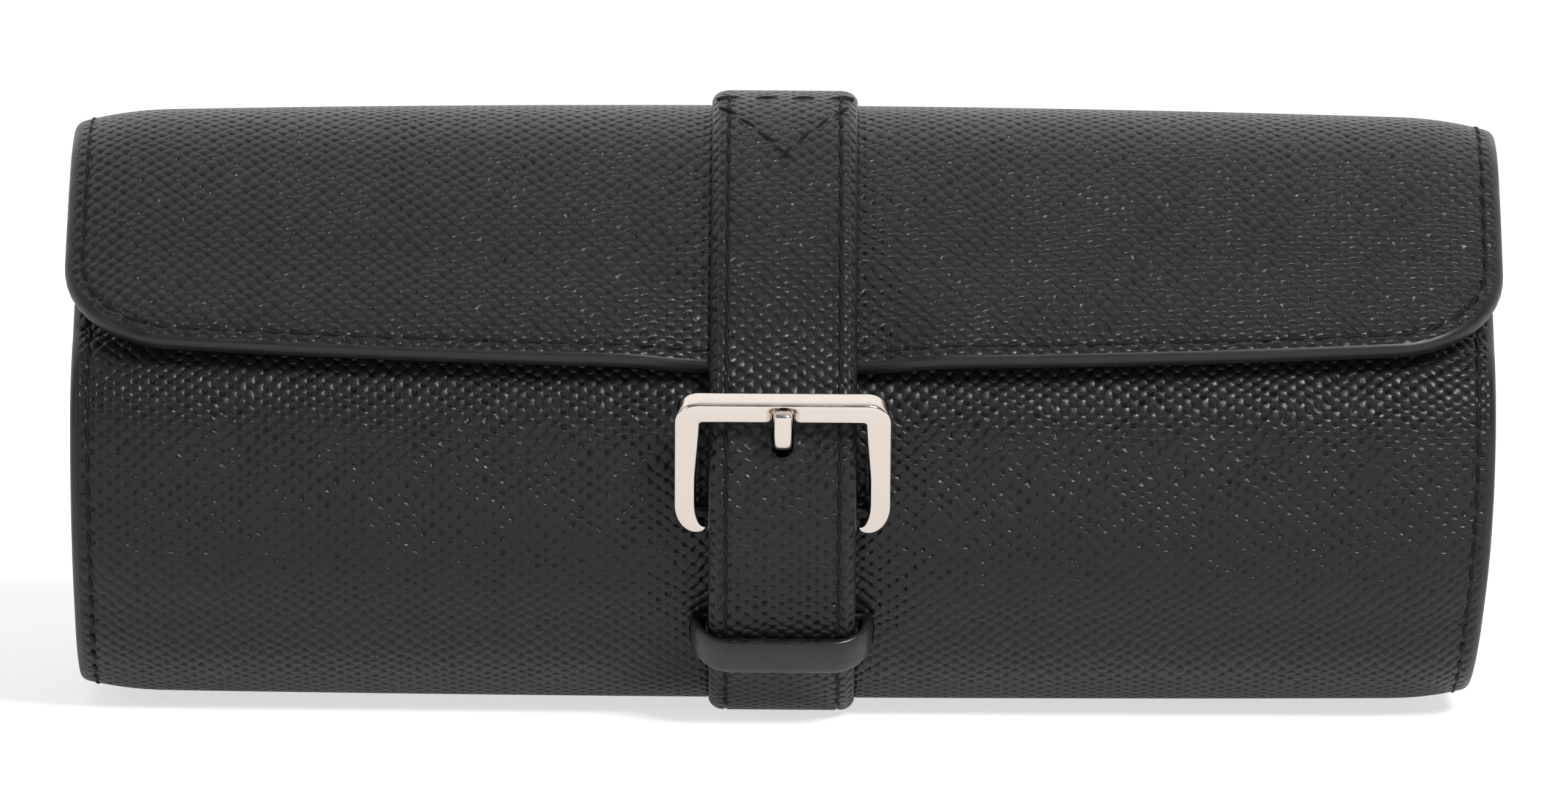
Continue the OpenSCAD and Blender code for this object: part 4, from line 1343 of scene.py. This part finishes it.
class STAGE_OT_stage(bpy.types.Operator):
    """Lays the white floor, hangs the lamps and sets the camera"""

    bl_idname = "watch_roll.stage"
    bl_label = "Stage"

    def execute(self, context):
        scene = context.scene
        mesh = bpy.data.meshes.new("floor")
        reach = 6.0
        mesh.from_pydata([(-reach, -reach, 0), (reach, -reach, 0), (reach, reach, 0), (-reach, reach, 0)],
                         [], [(0, 1, 2, 3)])
        paper, tree, shader = start_material("seamless_paper", scene.watch_roll_colours.paper, 0.9,
                                             Specular_IOR_Level=0.1)
        rays = add(tree, "ShaderNodeLightPath")
        seen = math_node(tree, "MAXIMUM", rays.outputs["Is Camera Ray"], rays.outputs["Is Glossy Ray"])
        seen = math_node(tree, "MAXIMUM", seen, rays.outputs["Is Transmission Ray"])
        # the floor glows a little in what reflects it, and more where the camera sees it
        in_reflections, in_view = 0.28, 0.38
        direct = math_node(tree, "MULTIPLY", rays.outputs["Is Camera Ray"], in_view)
        shine = math_node(tree, "ADD", math_node(tree, "MULTIPLY", seen, in_reflections), direct)
        links = [("Color", (1, 1, 1, 1)), ("Strength", shine)]
        glow = add(tree, "ShaderNodeEmission", links)
        both = add(tree, "ShaderNodeAddShader", [(0, shader.outputs[0]), (1, glow.outputs[0])])
        tree.links.new(both.outputs[0], tree.nodes["Material Output"].inputs["Surface"])
        mesh.materials.append(paper)
        floor = bpy.data.objects.new("floor", mesh)
        scene.collection.objects.link(floor)

        world = bpy.data.worlds.new("studio")
        scene.world = world
        world.use_nodes = True
        tree = world.node_tree
        rays = add(tree, "ShaderNodeLightPath")
        seen = math_node(tree, "MAXIMUM", rays.outputs["Is Camera Ray"], rays.outputs["Is Transmission Ray"])
        # the studio is dim on the side that the roll faces, so polished edges have a dark line
        way = add(tree, "ShaderNodeTexCoord").outputs["Generated"]
        split = add(tree, "ShaderNodeSeparateXYZ", [(0, way)])
        back = between(tree, split.outputs[1], -0.2, 0.45)
        high = between(tree, split.outputs[2], 0.15, 0.95, 0.0, 0.15)
        dimmest, fill = 0.12, 0.24
        room = between(tree, math_node(tree, "MAXIMUM", back, high), 0.0, 1.0, dimmest, 1.0)
        mirror = math_node(tree, "MULTIPLY", rays.outputs["Is Glossy Ray"], room)
        seen = math_node(tree, "MAXIMUM", seen, mirror)
        diffuse = math_node(tree, "SUBTRACT", 1.0, rays.outputs["Is Glossy Ray"])
        strength = math_node(tree, "MAXIMUM", seen, math_node(tree, "MULTIPLY", diffuse, fill))
        tree.links.new(strength, tree.nodes["Background"].inputs["Strength"])
        tree.nodes["Background"].inputs["Color"].default_value = (1, 1, 1, 1)

        for name, at, size, power in (("overhead", (-0.1, -0.25, 1.2), (1.2, 0.8), 1.0),
                                      ("key", (0.7, -1.35, 1.2), (0.5, 0.4), 24.0),
                                      ("left", (-1.1, -0.7, 0.5), (0.4, 0.7), 1.5)):
            lamp = bpy.data.lights.new(name, "AREA")
            lamp.shape, lamp.size, lamp.size_y, lamp.energy = "RECTANGLE", *size, power
            made = bpy.data.objects.new(name, lamp)
            scene.collection.objects.link(made)
            aim(made, at, (0, 0, 0.045))

        camera = bpy.data.cameras.new("camera")
        camera.sensor_width, camera.lens = 36.0, 302.85
        camera.clip_start, camera.clip_end = 0.1, 50
        made = bpy.data.objects.new("camera", camera)
        scene.collection.objects.link(made)
        high, away = math.radians(8), 2.0
        target = Vector((0.00013, 0.0, 0.04556))
        aim(made, target + Vector((0, -math.cos(high), math.sin(high))) * away, target)
        made.rotation_euler.rotate_axis("Z", math.radians(0.38))
        scene.camera = made
        scene.view_settings.view_transform = "Standard"
        return {"FINISHED"}


class WATCH_PT_panel(bpy.types.Panel):
    """Lists the watch roll's operators"""

    bl_label = "Watch roll"
    bl_idname = "WATCH_PT_panel"
    bl_space_type = "VIEW_3D"
    bl_region_type = "UI"
    bl_category = "Watch roll"

    def draw(self, context):
        for operator in OPERATORS:
            self.layout.operator(operator.bl_idname)
        for name in GROUPS:
            group, column = getattr(context.scene, name), self.layout.column()
            for size in group.bl_rna.properties.keys():
                if size not in ("rna_type", "name"):
                    column.prop(group, size)


OPERATORS = (WRAP_OT_leather, STRAP_OT_strap, SEAMS_OT_stitches, BUCKLE_OT_buckle, KEEPER_OT_keeper,
             CUSHION_OT_cushion, STAGE_OT_stage)
GROUPS = {"watch_roll": WatchRollSizes, "watch_roll_metal": WatchRollMetal,
          "watch_roll_cushion": WatchRollCushion, "watch_roll_colours": WatchRollColours}


def register():
    for made in (*GROUPS.values(), *OPERATORS, WATCH_PT_panel):
        bpy.utils.register_class(made)
    for name, group in GROUPS.items():
        setattr(bpy.types.Scene, name, PointerProperty(type=group))


def unregister():
    for name in GROUPS:
        delattr(bpy.types.Scene, name)
    for made in (WATCH_PT_panel, *reversed(OPERATORS), *reversed(GROUPS.values())):
        bpy.utils.unregister_class(made)


def main():
    register()
    for operator in OPERATORS:
        group, name = operator.bl_idname.split(".")
        getattr(getattr(bpy.ops, group), name)()


if __name__ == "__main__":
    main()
